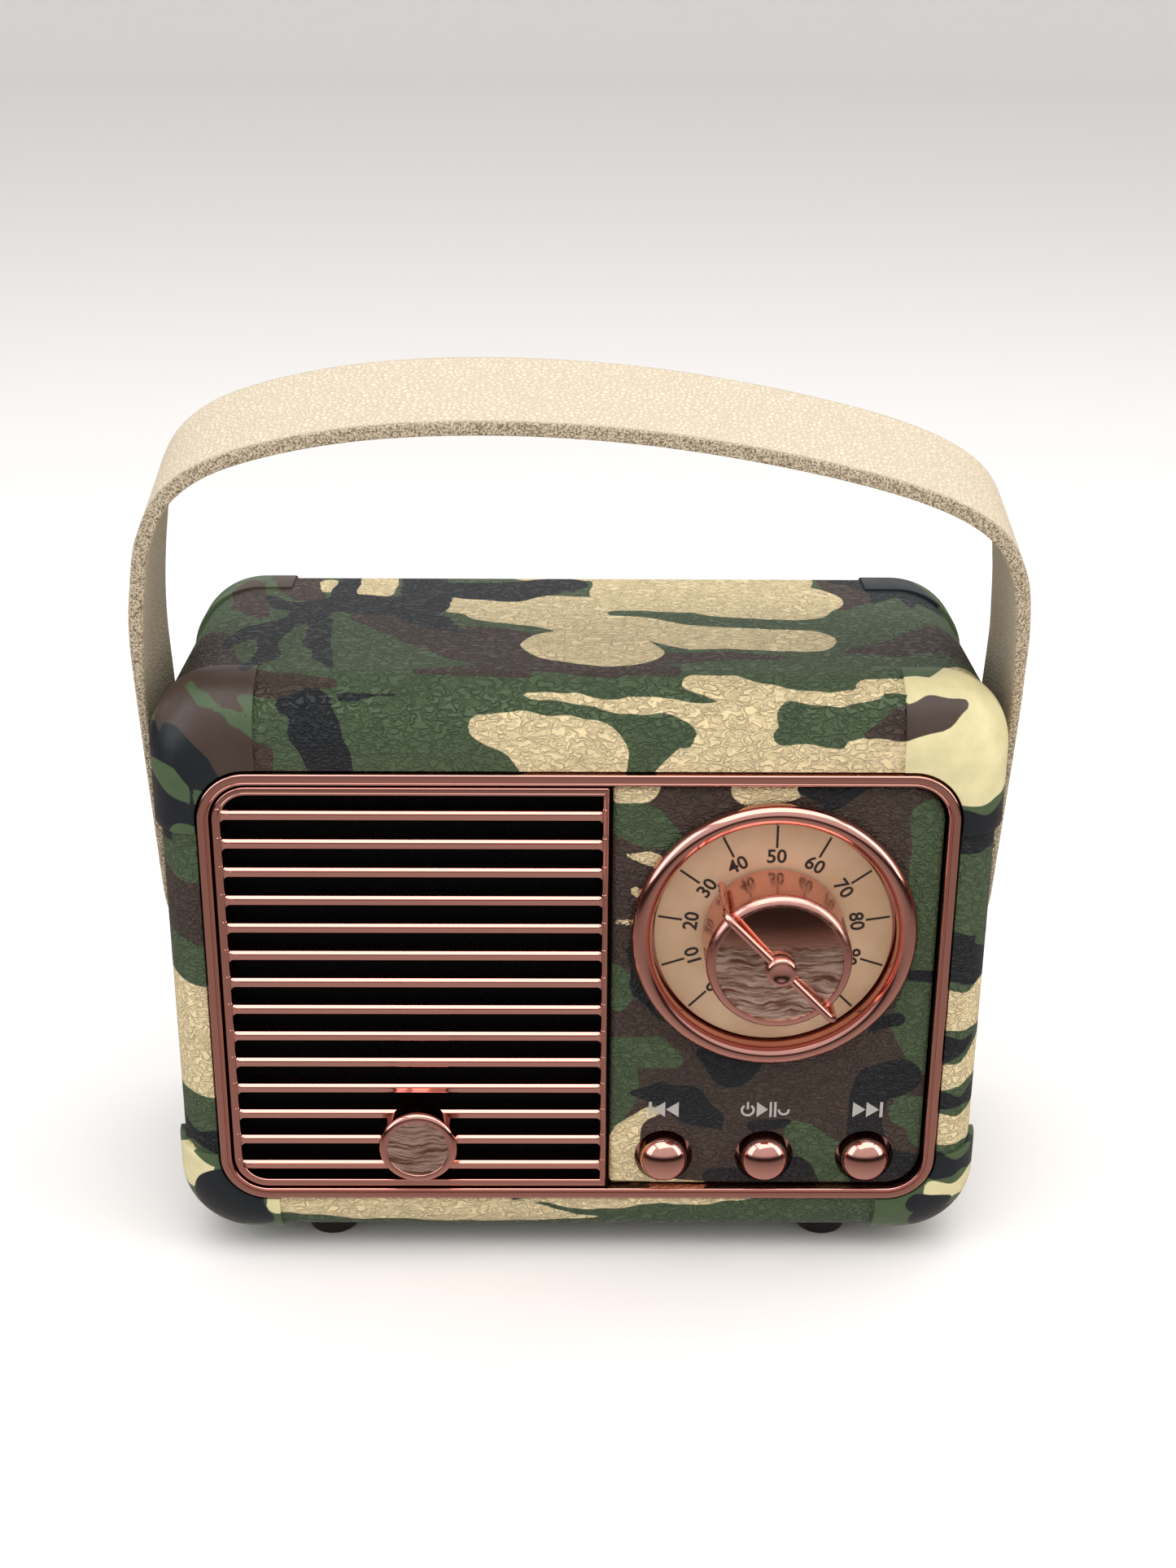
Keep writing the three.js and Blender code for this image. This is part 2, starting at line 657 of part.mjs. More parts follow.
const portCutters = [
  slotBox(charging, gap, -farOut, farOut),
  slotBox(card, gap, -farOut, farOut),
  rod(audio.x, ports.z, audio.radius + gap, -farOut, farOut, 16),
  rod(light.x, ports.z, light.radius + gap, -farOut, farOut, 10),
];
const coverShape = cut(
  roundedPlate(
    0, rearZ, rearCover.halfWidth, rearCover.halfHeight, rearCover.corner, rearCover.front, rearCover.back,
  ),
  roundedPlate(0, ports.z, ports.halfWidth + gap, ports.halfHeight + gap, ports.corner + gap, -farOut, farOut),
  ...rearScrewPlaces.map(([x, z]) => rod(x, z, rearScrew.shaft + gap, -farOut, farOut, 8)),
);
named(radio, "rear_cover", coverShape, leatherette);
const portPlate = cut(
  roundedPlate(0, ports.z, ports.halfWidth, ports.halfHeight, ports.corner, ports.plateFront, ports.plateBack),
  ...portCutters,
);
named(radio, "port_plate", portPlate, blackPlastic);

const screwNames = ["bottom_left", "top_left", "bottom_right", "top_right"];
for (const [index, [x, z]] of rearScrewPlaces.entries()) {
  const headBase = rearCover.back + gap;
  const profile = [
    [0, rearScrew.tip],
    [rearScrew.shaft, rearScrew.tip],
    [rearScrew.shaft, headBase],
    [rearScrew.head, headBase],
    ...arc(0, headBase, rearScrew.head, rearScrew.headHeight, 0, 90, 2).slice(1, -1),
    [0, headBase + rearScrew.headHeight],
  ];
  named(radio, `rear_screw_${screwNames[index]}`, turned(x, z, profile, 12), steel);
}

const portBoard = { halfWidth: 24, halfHeight: 5 };
const portBoardShape = block(
  -portBoard.halfWidth, portBoard.halfWidth,
  portBoardBack - boardThickness, portBoardBack,
  ports.z - portBoard.halfHeight, ports.z + portBoard.halfHeight,
);
named(radio, "port_board", portBoardShape, boardGreen);

// Each socket stands on the port board and is hollow from the back down to its floor.
const socketFront = portBoardBack + gap;
const socketFloor = socketFront + 1.5;
const chargingShape = cut(
  slotBox(charging, 0, socketFront, portBack),
  slotBox(charging, -charging.wall, socketFloor, farOut),
);
named(radio, "charging_socket", chargingShape, steel);
const cardShape = cut(slotBox(card, 0, socketFront, portBack), slotBox(card, -card.wall, socketFloor, farOut));
named(radio, "card_slot", cardShape, steel);
const audioShape = cut(
  rod(audio.x, ports.z, audio.radius, socketFront, portBack, 16),
  rod(audio.x, ports.z, audio.bore, socketFloor, farOut, 12),
);
named(radio, "audio_jack", audioShape, blackPlastic);
named(radio, "status_light", rod(light.x, ports.z, light.radius, socketFront, portBack, 10), lightGuide);

const ribbonPath = new THREE.CatmullRomCurve3([
  new THREE.Vector3(36, boardFront + 1.6, ports.z),
  new THREE.Vector3(35, 25, ports.z),
  new THREE.Vector3(30.5, 31, ports.z),
  new THREE.Vector3(25.5, 34.6, ports.z),
  new THREE.Vector3(19, 36.6, ports.z),
]);
const ribbonSection = new THREE.Shape();
const ribbonHalf = { thickness: 0.2, width: 4 };
ribbonSection.moveTo(-ribbonHalf.width, -ribbonHalf.thickness);
ribbonSection.lineTo(ribbonHalf.width, -ribbonHalf.thickness);
ribbonSection.lineTo(ribbonHalf.width, ribbonHalf.thickness);
ribbonSection.lineTo(-ribbonHalf.width, ribbonHalf.thickness);
const ribbon = new THREE.ExtrudeGeometry(ribbonSection, { steps: 8, extrudePath: ribbonPath });
named(radio, "board_ribbon", toSolid(ribbon), lightGuide);

// ---- Feet ----

const footPlaces = [
  ["foot_front_left", -foot.x, foot.frontY],
  ["foot_front_right", foot.x, foot.frontY],
  ["foot_rear_left", -foot.x, foot.backY],
  ["foot_rear_right", foot.x, foot.backY],
];
for (const [name, x, y] of footPlaces) {
  const pad = new THREE.CylinderGeometry(foot.top, foot.bottom, foot.height, 16).rotateX(Math.PI / 2);
  named(radio, name, pad.translate(x, y, foot.height / 2), rubber);
}

// ---- Strap handle ----

// The strap's middle line, as [x, height above the pivot]: up the left arm, over the uneven arch, which peaks a
// little to the left, and down the right arm.
const armX = strap.innerX + strap.thin / 2;
const strapLine = [
  [-armX, -strap.width / 2],
  [-armX, 8],
  [-armX, 24],
  [-armX, 32],
  [-54.9, 37],
  [-53.7, 45],
  [-52.4, 53.6],
  [-48.6, 60],
  [-41, 64.4],
  [-27, 67.6],
  [-10, 68.5],
  [8, 67.3],
  [26, 64.1],
  [41, 59.8],
  [49.6, 55],
  [53.4, 49],
  [54.7, 42],
  [55.2, 37],
  [armX, 32],
  [armX, 24],
  [armX, 8],
  [armX, -strap.width / 2],
].map(([x, z]) => new THREE.Vector3(x, 0, z));
const strapCurve = new THREE.CatmullRomCurve3(strapLine, false, "centripetal");
const strapSteps = 44;

function strapHalfThickness(height) {
  const share = THREE.MathUtils.smoothstep(height, strap.thinTo, strap.thickFrom);
  return (strap.thin + (strap.thick - strap.thin) * share) / 2;
}

const outerEdge = [];
const innerEdge = [];
for (let i = 0; i <= strapSteps; i += 1) {
  const at = strapCurve.getPointAt(i / strapSteps);
  const along = strapCurve.getTangentAt(i / strapSteps);
  const half = strapHalfThickness(at.z);
  outerEdge.push(new THREE.Vector2(at.x - along.z * half, at.z + along.x * half));
  innerEdge.push(new THREE.Vector2(at.x + along.z * half, at.z - along.x * half));
}
const strapShape = new THREE.Shape([...outerEdge, ...innerEdge.reverse()]);
const strapFull = pulled(strapShape, -strap.width / 2, strap.width / 2);
const roundEnds = join(
  alongX(strap.width / 2, -farOut, farOut, 0, 0, 24),
  block(-farOut, farOut, -strap.width / 2, strap.width / 2, 0, farOut),
);
const strapSolid = cut(strapFull.intersect(roundEnds), alongX(strap.hole, -farOut, farOut, 0, 0, 12))
  .rotate([lean, 0, 0])
  .translate([0, pivot.y, pivot.z]);
named(radio, "handle_strap", strapSolid, strapLeather);

const strapOuterX = strap.innerX + strap.thin;
for (const [side, sign] of [["left", -1], ["right", 1]]) {
  const inner = caseHalfWidth - pivotScrew.depth;
  const profile = [
    [0, inner],
    [pivotScrew.shaft, inner],
    [pivotScrew.shaft, strapOuterX + gap],
    [pivotScrew.head, strapOuterX + gap],
    ...arc(0, strapOuterX + gap, pivotScrew.head, pivotScrew.headHeight, 0, 90, 2).slice(1, -1),
    [0, strapOuterX + gap + pivotScrew.headHeight],
  ];
  const screw = turned(0, 0, profile, 16).rotate([0, 0, -90 * sign]).translate([0, pivot.y, pivot.z]);
  named(radio, `pivot_screw_${side}`, screw, roseGold);
}

// The radio stands on z = 0 with the middle of its whole depth at y = 0.
const bounds = new THREE.Box3().setFromObject(radio, true);
radio.position.y = -(bounds.min.y + bounds.max.y) / 2;

export default radio;
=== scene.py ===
# %% [markdown]
# # A small retro radio in camouflage leatherette
#
# This lesson dresses a finished mechanical model of a pocket-sized radio. The mechanical model, called the
# frame here, fixes every size, every joint and every place. The lesson adds what the eye wants: smooth
# chrome, grained leatherette with its printed pattern, a leather strap, printed numbers and soft studio
# light.
#
# Lengths are written in millimetres and turned into metres when a mesh is made. X runs to the right, Y from
# the front to the back and Z up.

import math

import bmesh
import bpy
import numpy as np
from mathutils import Matrix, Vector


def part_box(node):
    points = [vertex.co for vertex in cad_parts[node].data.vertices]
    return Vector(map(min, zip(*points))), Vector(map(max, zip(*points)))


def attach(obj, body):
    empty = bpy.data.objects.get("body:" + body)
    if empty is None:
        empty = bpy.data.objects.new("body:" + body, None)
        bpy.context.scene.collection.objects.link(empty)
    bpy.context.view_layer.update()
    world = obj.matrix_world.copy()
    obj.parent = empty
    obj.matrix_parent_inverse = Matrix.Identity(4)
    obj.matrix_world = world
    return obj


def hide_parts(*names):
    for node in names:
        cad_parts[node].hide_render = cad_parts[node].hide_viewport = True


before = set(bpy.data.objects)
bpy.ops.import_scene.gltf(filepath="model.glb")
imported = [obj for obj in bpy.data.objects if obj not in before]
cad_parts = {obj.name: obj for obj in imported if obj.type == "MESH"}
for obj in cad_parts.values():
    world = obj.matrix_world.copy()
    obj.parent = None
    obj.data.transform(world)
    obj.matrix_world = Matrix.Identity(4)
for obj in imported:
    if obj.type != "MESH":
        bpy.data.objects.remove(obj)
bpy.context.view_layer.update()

# %% [markdown]
# ## Places that come from the frame
#
# Each new piece goes where the frame says. These few values are read once from the boxes of the mechanical
# parts and used all the way down.

# %% Read the driving places
MM = 0.001


def box_mm(node):
    """Lowest and highest corner of a frame node, in millimetres."""
    low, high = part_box(node)
    return np.array(low) / MM, np.array(high) / MM


def middle_mm(node):
    """Middle of a frame node's box, in millimetres."""
    low, high = box_mm(node)
    return (low + high) / 2


frame_low, frame_high = box_mm("front_frame")
shell_low, shell_high = box_mm("cabinet_shell")
front = frame_low[1]  # the front plane of the chromed frame; depths below are measured from it
case_half = shell_high[0]
case_low = shell_low[2]
case_high = shell_high[2]
case_depth = shell_high[1] - front
face_start = shell_low[1] - front
dial_x, _, dial_z = middle_mm("dial_bezel")
print(f"case {2 * case_half:.1f} wide, {case_high - case_low:.1f} high, {case_depth:.1f} deep")

# %% [markdown]
# ## Making meshes from whole arrays
#
# Almost every piece here is one of two things: a profile turned round an axis, or a row of outlines joined
# into a skin. Both are grids of points, so one helper turns a grid into faces. Where a grid closes on itself,
# or a ring shrinks to a point, the doubled points are welded, which leaves a closed body. A rim that is left
# open on purpose is filled afterwards. A body has to be closed before anything is cut out of it.

# %% Grids, welding and pieces
WELD = 1e-6  # metres


def grid(points, wrap_rows=False, wrap_columns=True):
    """Points (rows, columns, 3) and the quads between neighbours; a wrapped direction joins its last to its
    first."""
    rows, columns = points.shape[:2]
    number = np.arange(rows * columns).reshape(rows, columns)
    if wrap_rows:
        number = np.vstack([number, number[:1]])
    if wrap_columns:
        number = np.hstack([number, number[:, :1]])
    quads = np.stack([number[:-1, :-1], number[1:, :-1], number[1:, 1:], number[:-1, 1:]], axis=-1)
    return points.reshape(-1, 3), quads.reshape(-1, 4)


def together(parts):
    """Joins several (points, faces) pairs into one, shifting each pair's point numbers past the ones
    before."""
    starts = np.cumsum([0] + [len(points) for points, _ in parts[:-1]])
    points = np.vstack([points for points, _ in parts])
    faces = np.vstack([faces + start for (_, faces), start in zip(parts, starts)])
    return points, faces


def weld(mesh):
    """Merges doubled points, drops faces that vanish and turns all faces outwards."""
    work = bmesh.new()
    work.from_mesh(mesh)
    bmesh.ops.remove_doubles(work, verts=work.verts, dist=WELD)
    bmesh.ops.dissolve_degenerate(work, edges=work.edges, dist=WELD / 10)
    bmesh.ops.recalc_face_normals(work, faces=work.faces)
    work.to_mesh(mesh)
    work.free()


def shut(mesh):
    """Fills every rim left open and turns the faces outwards; returns how many edges still lack a partner
    face."""
    work = bmesh.new()
    work.from_mesh(mesh)
    rims = [edge for edge in work.edges if edge.is_boundary]
    bmesh.ops.holes_fill(work, edges=rims, sides=0)
    bmesh.ops.recalc_face_normals(work, faces=work.faces)
    left = sum(not edge.is_manifold for edge in work.edges)
    work.to_mesh(mesh)
    work.free()
    return left


def smooth(mesh, sharp_degrees=38):
    """Shades smoothly across edges that turn less than the given angle."""
    mesh.polygons.foreach_set("use_smooth", np.ones(len(mesh.polygons), bool))
    mesh.set_sharp_from_angle(angle=math.radians(sharp_degrees))
    mesh.update()


def make(name, shape, sharp_degrees=38):
    """A closed mesh object at the origin from points in millimetres and faces, an array of quads or a
    list."""
    points, faces = shape
    mesh = bpy.data.meshes.new(name)
    mesh.from_pydata((points * MM).tolist(), [], faces if isinstance(faces, list) else faces.tolist())
    weld(mesh)
    smooth(mesh, sharp_degrees)
    piece = bpy.data.objects.new(name, mesh)
    bpy.context.scene.collection.objects.link(piece)
    return piece


def settle(piece, sharp_degrees=38):
    """Turns a piece's modifiers into plain mesh."""
    bpy.context.view_layer.update()
    evaluated = piece.evaluated_get(bpy.context.evaluated_depsgraph_get())
    final = bpy.data.meshes.new_from_object(evaluated)
    piece.modifiers.clear()
    piece.data = final
    smooth(final, sharp_degrees)
    return piece


def cut_out(piece, cutters, sharp_degrees=38):
    """Takes every cutter away from a closed piece, and then removes the cutters."""
    for cutter in cutters:
        hole = piece.modifiers.new("hole", "BOOLEAN")
        hole.object = cutter
        hole.solver = "EXACT"
    settle(piece, sharp_degrees)
    for cutter in cutters:
        bpy.data.objects.remove(cutter)


def points_of(mesh):
    """A mesh's points in its own units, as an array of rows (x, y, z)."""
    points = np.empty(len(mesh.vertices) * 3)
    mesh.vertices.foreach_get("co", points)
    return points.reshape(-1, 3)


def dress(piece, finish, body, replaced=()):
    """Gives a piece its material and its body, and hides the frame nodes that it stands for."""
    piece.data.materials.clear()
    piece.data.materials.append(finish)
    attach(piece, body)
    if replaced:
        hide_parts(*replaced)
    print(f"{piece.name}: {len(piece.data.polygons)} faces")
    return piece


# %% Profiles
def arc(centre, radii, start, end, steps=8):
    """Points on an elliptical arc: centre plus (radius times cosine, radius times sine), angles in
    degrees."""
    angle = np.radians(np.linspace(start, end, steps + 1))
    return np.array(centre) + np.stack([radii[0] * np.cos(angle), radii[1] * np.sin(angle)], axis=1)


def profile(*runs):
    """One profile from single points and arcs, in order."""
    return np.vstack([np.atleast_2d(run) for run in runs])


def turned(outline, centre, axis=1, sign=1, steps=96, closed=False):
    """Revolves (radius, distance) points about a line through centre, along axis 0, 1 or 2 in the sign's
    direction."""
    angle = np.linspace(0, 2 * np.pi, steps, endpoint=False)
    radius, along = outline[:, 0:1], outline[:, 1:2]
    points = np.empty((len(outline), steps, 3))
    points[..., axis] = sign * along + 0 * angle
    points[..., (axis + 1) % 3] = radius * np.cos(angle)
    points[..., (axis + 2) % 3] = radius * np.sin(angle)
    return grid(points + np.array(centre), wrap_rows=closed)


def ended(rings):
    """Rings with one more at each end, shrunk to its middle, which closes the skin."""
    first, last = [ring.mean(axis=1, keepdims=True) + 0 * ring for ring in (rings[:1], rings[-1:])]
    return np.concatenate([first, rings, last])


def carried(path, side, up, section, closed=False):
    """Carries a closed section along a path: each ring is path + section x times side + section y times up.
    An open path gets a ring shrunk to the middle at each end, which closes it."""
    section = np.broadcast_to(section, (len(path),) + section.shape[-2:])
    rings = path[:, None] + section[..., 0:1] * side[:, None] + section[..., 1:2] * up[:, None]
    return grid(rings if closed else ended(rings), wrap_rows=closed)


def prism(outline, y_start, y_end):
    """A flat (x, z) outline given thickness along Y."""
    path = np.array([[0, y_start, 0], [0, y_end, 0]], float)
    side = np.tile([1.0, 0, 0], (2, 1))
    up = np.tile([0, 0, 1.0], (2, 1))
    return carried(path, side, up, np.asarray(outline, float))


# %% [markdown]
# ## Outlines round the case
#
# Seen from the front, the case, its frame, the grille and the panels are all rounded rectangles. A point of
# such an outline is a corner centre plus the corner radius in some direction. Writing it that way lets one
# set of samples serve outlines of any size, so a body is a list of outlines at growing depth, called
# stations.

# %% Rounded outlines and stations
def samples(across, upward, corner):
    """Loop samples (a, b, cosine, sine): a and b, from -1 to 1, slide the corner centre; the angle turns the
    corner radius. It runs along the bottom, up the right, back along the top and down the left."""
    slide_x = np.linspace(-1, 1, across + 1)[:-1]
    slide_z = np.linspace(-1, 1, upward + 1)[:-1]
    turn = np.linspace(0, 90, corner + 1)[:-1]
    straight_x = np.ones(across)
    straight_z = np.ones(upward)
    bend = np.ones(corner)
    a = np.concatenate([slide_x, bend, straight_z, bend, -slide_x, -bend, -straight_z, -bend])
    b = np.concatenate([-straight_x, -bend, slide_z, bend, straight_x, bend, -slide_z, -bend])
    angle = np.concatenate(
        [
            -90 * straight_x,
            turn - 90,
            0 * straight_z,
            turn,
            90 * straight_x,
            turn + 90,
            180 * straight_z,
            turn + 180,
        ]
    )
    return a, b, np.cos(np.radians(angle)), np.sin(np.radians(angle))


def loops(stations, loop_samples):
    """Outlines for stations (depth, left, right, low, high, left radius, right radius), as a grid of
    points."""
    a, b, cosine, sine = loop_samples
    depth, left, right, low, high, left_radius, right_radius = [
        column[:, None] for column in np.asarray(stations).T
    ]
    radius = np.where(a < 0, left_radius, right_radius)
    slide = (a + 1) / 2
    x = (left + left_radius) * (1 - slide) + (right - right_radius) * slide + radius * cosine
    z = (low + radius) * (1 - b) / 2 + (high - radius) * (1 + b) / 2 + radius * sine
    return np.stack([x, front + depth + 0 * x, z], axis=-1)


def station(depth, half, low, high, radius):
    """A station that is the same on its left and its right."""
    return depth, -half, half, low, high, radius, radius


def between(first, last, steps):
    """Stations blended evenly from one to another, without the first."""
    share = np.linspace(0, 1, steps + 1)[1:, None]
    return (1 - share) * np.array(first) + share * np.array(last)


# %% [markdown]
# ## Materials: one helper for nodes
#
# A material is a small network of nodes. This helper adds one node, sets its properties, and fills or links
# its inputs, so a material below reads as a list of its layers. Colours are written as the hex values that a
# paint chart would give and turned to linear light by one function.

# %% Node and colour helpers
def colour(hex_value):
    """Linear RGBA from an sRGB hex colour: each channel is raised as the sRGB curve says."""
    channels = np.array([int(hex_value[i : i + 2], 16) for i in (1, 3, 5)]) / 255
    linear = np.where(channels <= 0.04045, channels / 12.92, ((channels + 0.055) / 1.055) ** 2.4)
    return (*linear.tolist(), 1.0)


def add(tree, kind, inputs=None, **settings):
    """Adds one node with its settings; each input is given a value, or the socket that feeds it."""
    node = tree.nodes.new("ShaderNode" + kind)
    for name, value in settings.items():
        setattr(node, name, value)
    for name, value in (inputs or {}).items():
        if isinstance(value, bpy.types.NodeSocket):
            tree.links.new(value, node.inputs[name])
        else:
            node.inputs[name].default_value = value
    return node


def maths(tree, operation, *values):
    """One maths node and its result."""
    return add(tree, "Math", dict(enumerate(values)), operation=operation).outputs[0]


def new_finish(name, **shader):
    """A material with one Principled shader; returns the material, its tree, the shader and a place in mm."""
    finish = bpy.data.materials.new(name)
    finish.use_nodes = True
    tree = finish.node_tree
    tree.nodes.clear()
    body = add(tree, "BsdfPrincipled", {key.replace("_", " "): value for key, value in shader.items()})
    add(tree, "OutputMaterial", {"Surface": body.outputs[0]})
    place = add(tree, "TexCoord").outputs["Object"]
    in_mm = add(tree, "VectorMath", {0: place, 3: 1 / MM}, operation="SCALE").outputs[0]
    return finish, tree, body, in_mm


def noise(tree, place, per_mm, detail=3.0, roughness=0.55, distortion=0.0):
    """Fractal noise with the given number of lumps in each millimetre."""
    settings = {
        "Vector": place, "Scale": per_mm, "Detail": detail, "Roughness": roughness, "Distortion": distortion
    }
    return add(tree, "TexNoise", settings).outputs["Fac"]


def spread(tree, value, low, high, from_low=0.3, from_high=0.7):
    """Maps a noise value onto a range, such as a roughness that wanders a little."""
    ranges = {"Value": value, "From Min": from_low, "From Max": from_high, "To Min": low, "To Max": high}
    return add(tree, "MapRange", ranges).outputs["Result"]


def blended(tree, share, first, second):
    """Colour mix: first where share is 0, second where it is 1."""
    mix = add(tree, "Mix", data_type="RGBA")
    for socket, value in ((0, share), (6, first), (7, second)):
        if isinstance(value, bpy.types.NodeSocket):
            tree.links.new(value, mix.inputs[socket])
        else:
            mix.inputs[socket].default_value = value
    return mix.outputs[2]


def bumped(tree, body, height, depth_mm, strength=1.0):
    """Feeds a height into the shader's normal; depth_mm is how deep a height of one is."""
    bump = add(tree, "Bump", {"Height": height, "Strength": strength, "Distance": depth_mm * MM})
    tree.links.new(bump.outputs[0], body.inputs["Normal"])


# %% [markdown]
# ## Camouflage leatherette
#
# The case is covered with PVC leatherette: a printed film embossed with a wrinkled grain about a millimetre
# across. The print has four inks. Each mesh point carries, for three of them, how far it lies inside that
# ink, and the material draws an ink where that distance is above zero. Distances blend evenly across a face,
# so the edge of a patch stays crisp on a mesh that is much coarser than the edge.

# %% Printed inks and grain
INKS = {"green": "#46583C", "brown": "#43362F", "tan": "#DDCB9F", "navy": "#1B2025"}
INK_EDGE = 0.05  # millimetres over which one ink gives way to the next


def printed(tree, in_mm, inks):
    """The print: green first, then each other ink over it where its distance is above zero, a little
    uneven."""
    shade = colour(inks["green"])
    for ink in ("brown", "tan", "navy"):
        inside = add(tree, "Attribute", attribute_name=ink).outputs["Fac"]
        edges = {"Value": inside, "From Min": -INK_EDGE, "From Max": INK_EDGE}
        shade = blended(tree, add(tree, "MapRange", edges).outputs["Result"], shade, colour(inks[ink]))
    worn = spread(tree, noise(tree, in_mm, 0.35, detail=5), 0.9, 1.08)
    return add(tree, "HueSaturation", {"Value": worn, "Color": shade}).outputs["Color"]


def wrinkled(tree, in_mm, per_mm):
    """Leather grain: winding creases between soft ridges. Creases follow the middle level of a stretched
    noise, as contour lines follow a map, so they run like worms a millimetre or so long."""
    longer = add(tree, "Mapping", {"Vector": in_mm, "Scale": (0.75, 1.0, 1.2)}).outputs[0]
    folds = noise(tree, longer, per_mm, detail=1.0, roughness=0.45, distortion=0.7)
    level = maths(tree, "SUBTRACT", folds, 0.5)
    away = maths(tree, "ABSOLUTE", level)
    ridge = {"Value": away, "From Min": 0.0, "From Max": 0.14}
    raised = add(tree, "MapRange", ridge, interpolation_type="SMOOTHSTEP").outputs["Result"]
    fine = noise(tree, in_mm, 4.0, detail=1)
    return maths(tree, "MULTIPLY_ADD", fine, 0.3, raised)


def leatherette_finish():
    """Embossed PVC film: satin, slightly glossier on top of the grain, and painted darker in its creases as
    shade.
    """
    finish, tree, body, in_mm = new_finish("camouflage_leatherette", Roughness=0.5, Specular_IOR_Level=0.36)
    grain = wrinkled(tree, in_mm, 1.1)
    shade = printed(tree, in_mm, INKS)
    # Painted shade: the print is darkened in the creases of the grain, where shade would fall.
    painted_crease_shade = add(tree, "HueSaturation", {"Value": 0.86, "Color": shade}).outputs["Color"]
    lit = blended(tree, spread(tree, grain, 0.0, 1.0, 0.15, 0.95), painted_crease_shade, shade)
    tree.links.new(lit, body.inputs["Base Color"])
    tree.links.new(spread(tree, grain, 0.62, 0.4, 0.2, 1.1), body.inputs["Roughness"])
    bumped(tree, body, grain, 0.3, 1.0)
    return finish


def guard_finish():
    """Moulded ABS guards under the same print, but smooth: only a faint orange peel from the mould."""
    inks = {**INKS, "tan": "#D3CA9C"}
    finish, tree, body, in_mm = new_finish("printed_abs_guard", Roughness=0.36, Specular_IOR_Level=0.36)
    tree.links.new(printed(tree, in_mm, inks), body.inputs["Base Color"])
    tree.links.new(spread(tree, noise(tree, in_mm, 0.8), 0.3, 0.42), body.inputs["Roughness"])
    bumped(tree, body, noise(tree, in_mm, 1.6, detail=2), 0.012, 0.5)
    return finish


leatherette = leatherette_finish()
guard_plastic = guard_finish()

# %% [markdown]
# ## Painting the print
#
# A camouflage patch looks as if it were laid with one pass of a round brush whose width changes on the way.
# So a patch is a short list of stops, each a place and a brush radius. How far a point lies inside a stroke
# is the brush radius minus the distance to the brush's path. Strokes are laid in order: a stroke adds to its
# own ink and takes away from all the others, as paint over paint does.
#
# The stops are given on the covering as if it were unrolled from the edge of the front frame, and folded
# round the soft edge of the case by a quarter of an ellipse.

# %% Brush strokes as distances
FAR = 4.0  # distances beyond this many millimetres are cut off, which keeps the blend between points even
FRONT_EDGE = 8.0  # depth over which the front edge of the case rounds off
JOIN = 0.35  # millimetres over which two passes of the brush run together


def stroke_inside(points, stops):
    """Brush radius minus distance to the path between stops, at the nearest place of each stretch; the
    stretches run together by a soft maximum: join times the log of the summed exponentials."""
    stops = np.asarray(stops, float)
    if len(stops) == 1:
        stops = np.vstack([stops, stops])
    start, along = stops[:-1, :3], np.diff(stops[:, :3], axis=0)
    offset = points[:, None] - start
    share = (offset * along).sum(axis=2) / ((along**2).sum(axis=1) + 1e-9)
    share = np.clip(share, 0, 1)
    radius = stops[:-1, 3] + share * np.diff(stops[:, 3])
    inside = radius - np.linalg.norm(offset - share[..., None] * along, axis=2)
    highest = inside.max(axis=1)
    return highest + JOIN * np.log(np.exp((inside - highest[:, None]) / JOIN).sum(axis=1))


def wavering(points):
    """Moves places by a few slow sine waves, so that no patch edge is a perfect arc."""
    waves = np.array([[0.31, 0.47, 0.39], [0.83, 0.61, 0.72], [1.3, 1.7, 1.5]])
    sizes = np.array([0.2, 0.12, 0.06])
    shift = np.zeros_like(points)
    for wave, size in zip(waves, sizes):
        shift += size * np.sin(points[:, [1, 2, 0]] * wave + points[:, [2, 0, 1]] * wave[::-1])
    return points + shift


def print_inks(piece, base, strokes):
    """Stores on each mesh point how far it is inside the brown, tan and navy inks."""
    mesh = piece.data
    points = wavering(points_of(mesh) / MM)
    inside = {ink: np.full(len(points), FAR if ink == base else -FAR) for ink in INKS}
    for ink, stops in strokes:
        depth = np.clip(stroke_inside(points, stops), -FAR, FAR)
        for other in INKS:
            inside[other] = np.maximum(inside[other], depth) if other == ink else np.minimum(
                inside[other], -depth
            )
    for ink in ("brown", "tan", "navy"):
        layer = mesh.attributes.get(ink) or mesh.attributes.new(ink, "FLOAT", "POINT")
        layer.data.foreach_set("value", inside[ink].astype(np.float32))


def folded(run, flat, reach):
    """Unrolled distance from the frame's edge to (distance outwards, depth): flat, then the quarter ellipse,
    then straight back."""
    bend = math.pi / 2 * math.sqrt((reach**2 + FRONT_EDGE**2) / 2)
    angle = np.clip((run - flat) / bend, 0, 1) * math.pi / 2
    past = np.maximum(run - flat - bend, 0)
    outwards = np.minimum(run, flat) + reach * np.sin(angle)
    return outwards, face_start + FRONT_EDGE * (1 - np.cos(angle)) + past


top_flat, top_reach = 2.75, 8.5
side_flat, side_reach = 0.65, 5.2
under_flat, under_reach = 1.15, 6.5


def on_top(stops):
    """Stops (x, distance from the frame's top edge, radius) on the front upper edge and the top."""
    x, run, radius = np.asarray(stops, float).T
    outwards, depth = folded(run, top_flat, top_reach)
    return np.stack([x, front + depth, frame_high[2] + outwards, radius], axis=1)


def on_side(sign, stops):
    """Stops (distance from the frame's side edge, z, radius) on the left (-1) or the right (1)."""
    run, z, radius = np.asarray(stops, float).T
    outwards, depth = folded(run, side_flat, side_reach)
    return np.stack([sign * (frame_high[0] + outwards), front + depth, z, radius], axis=1)


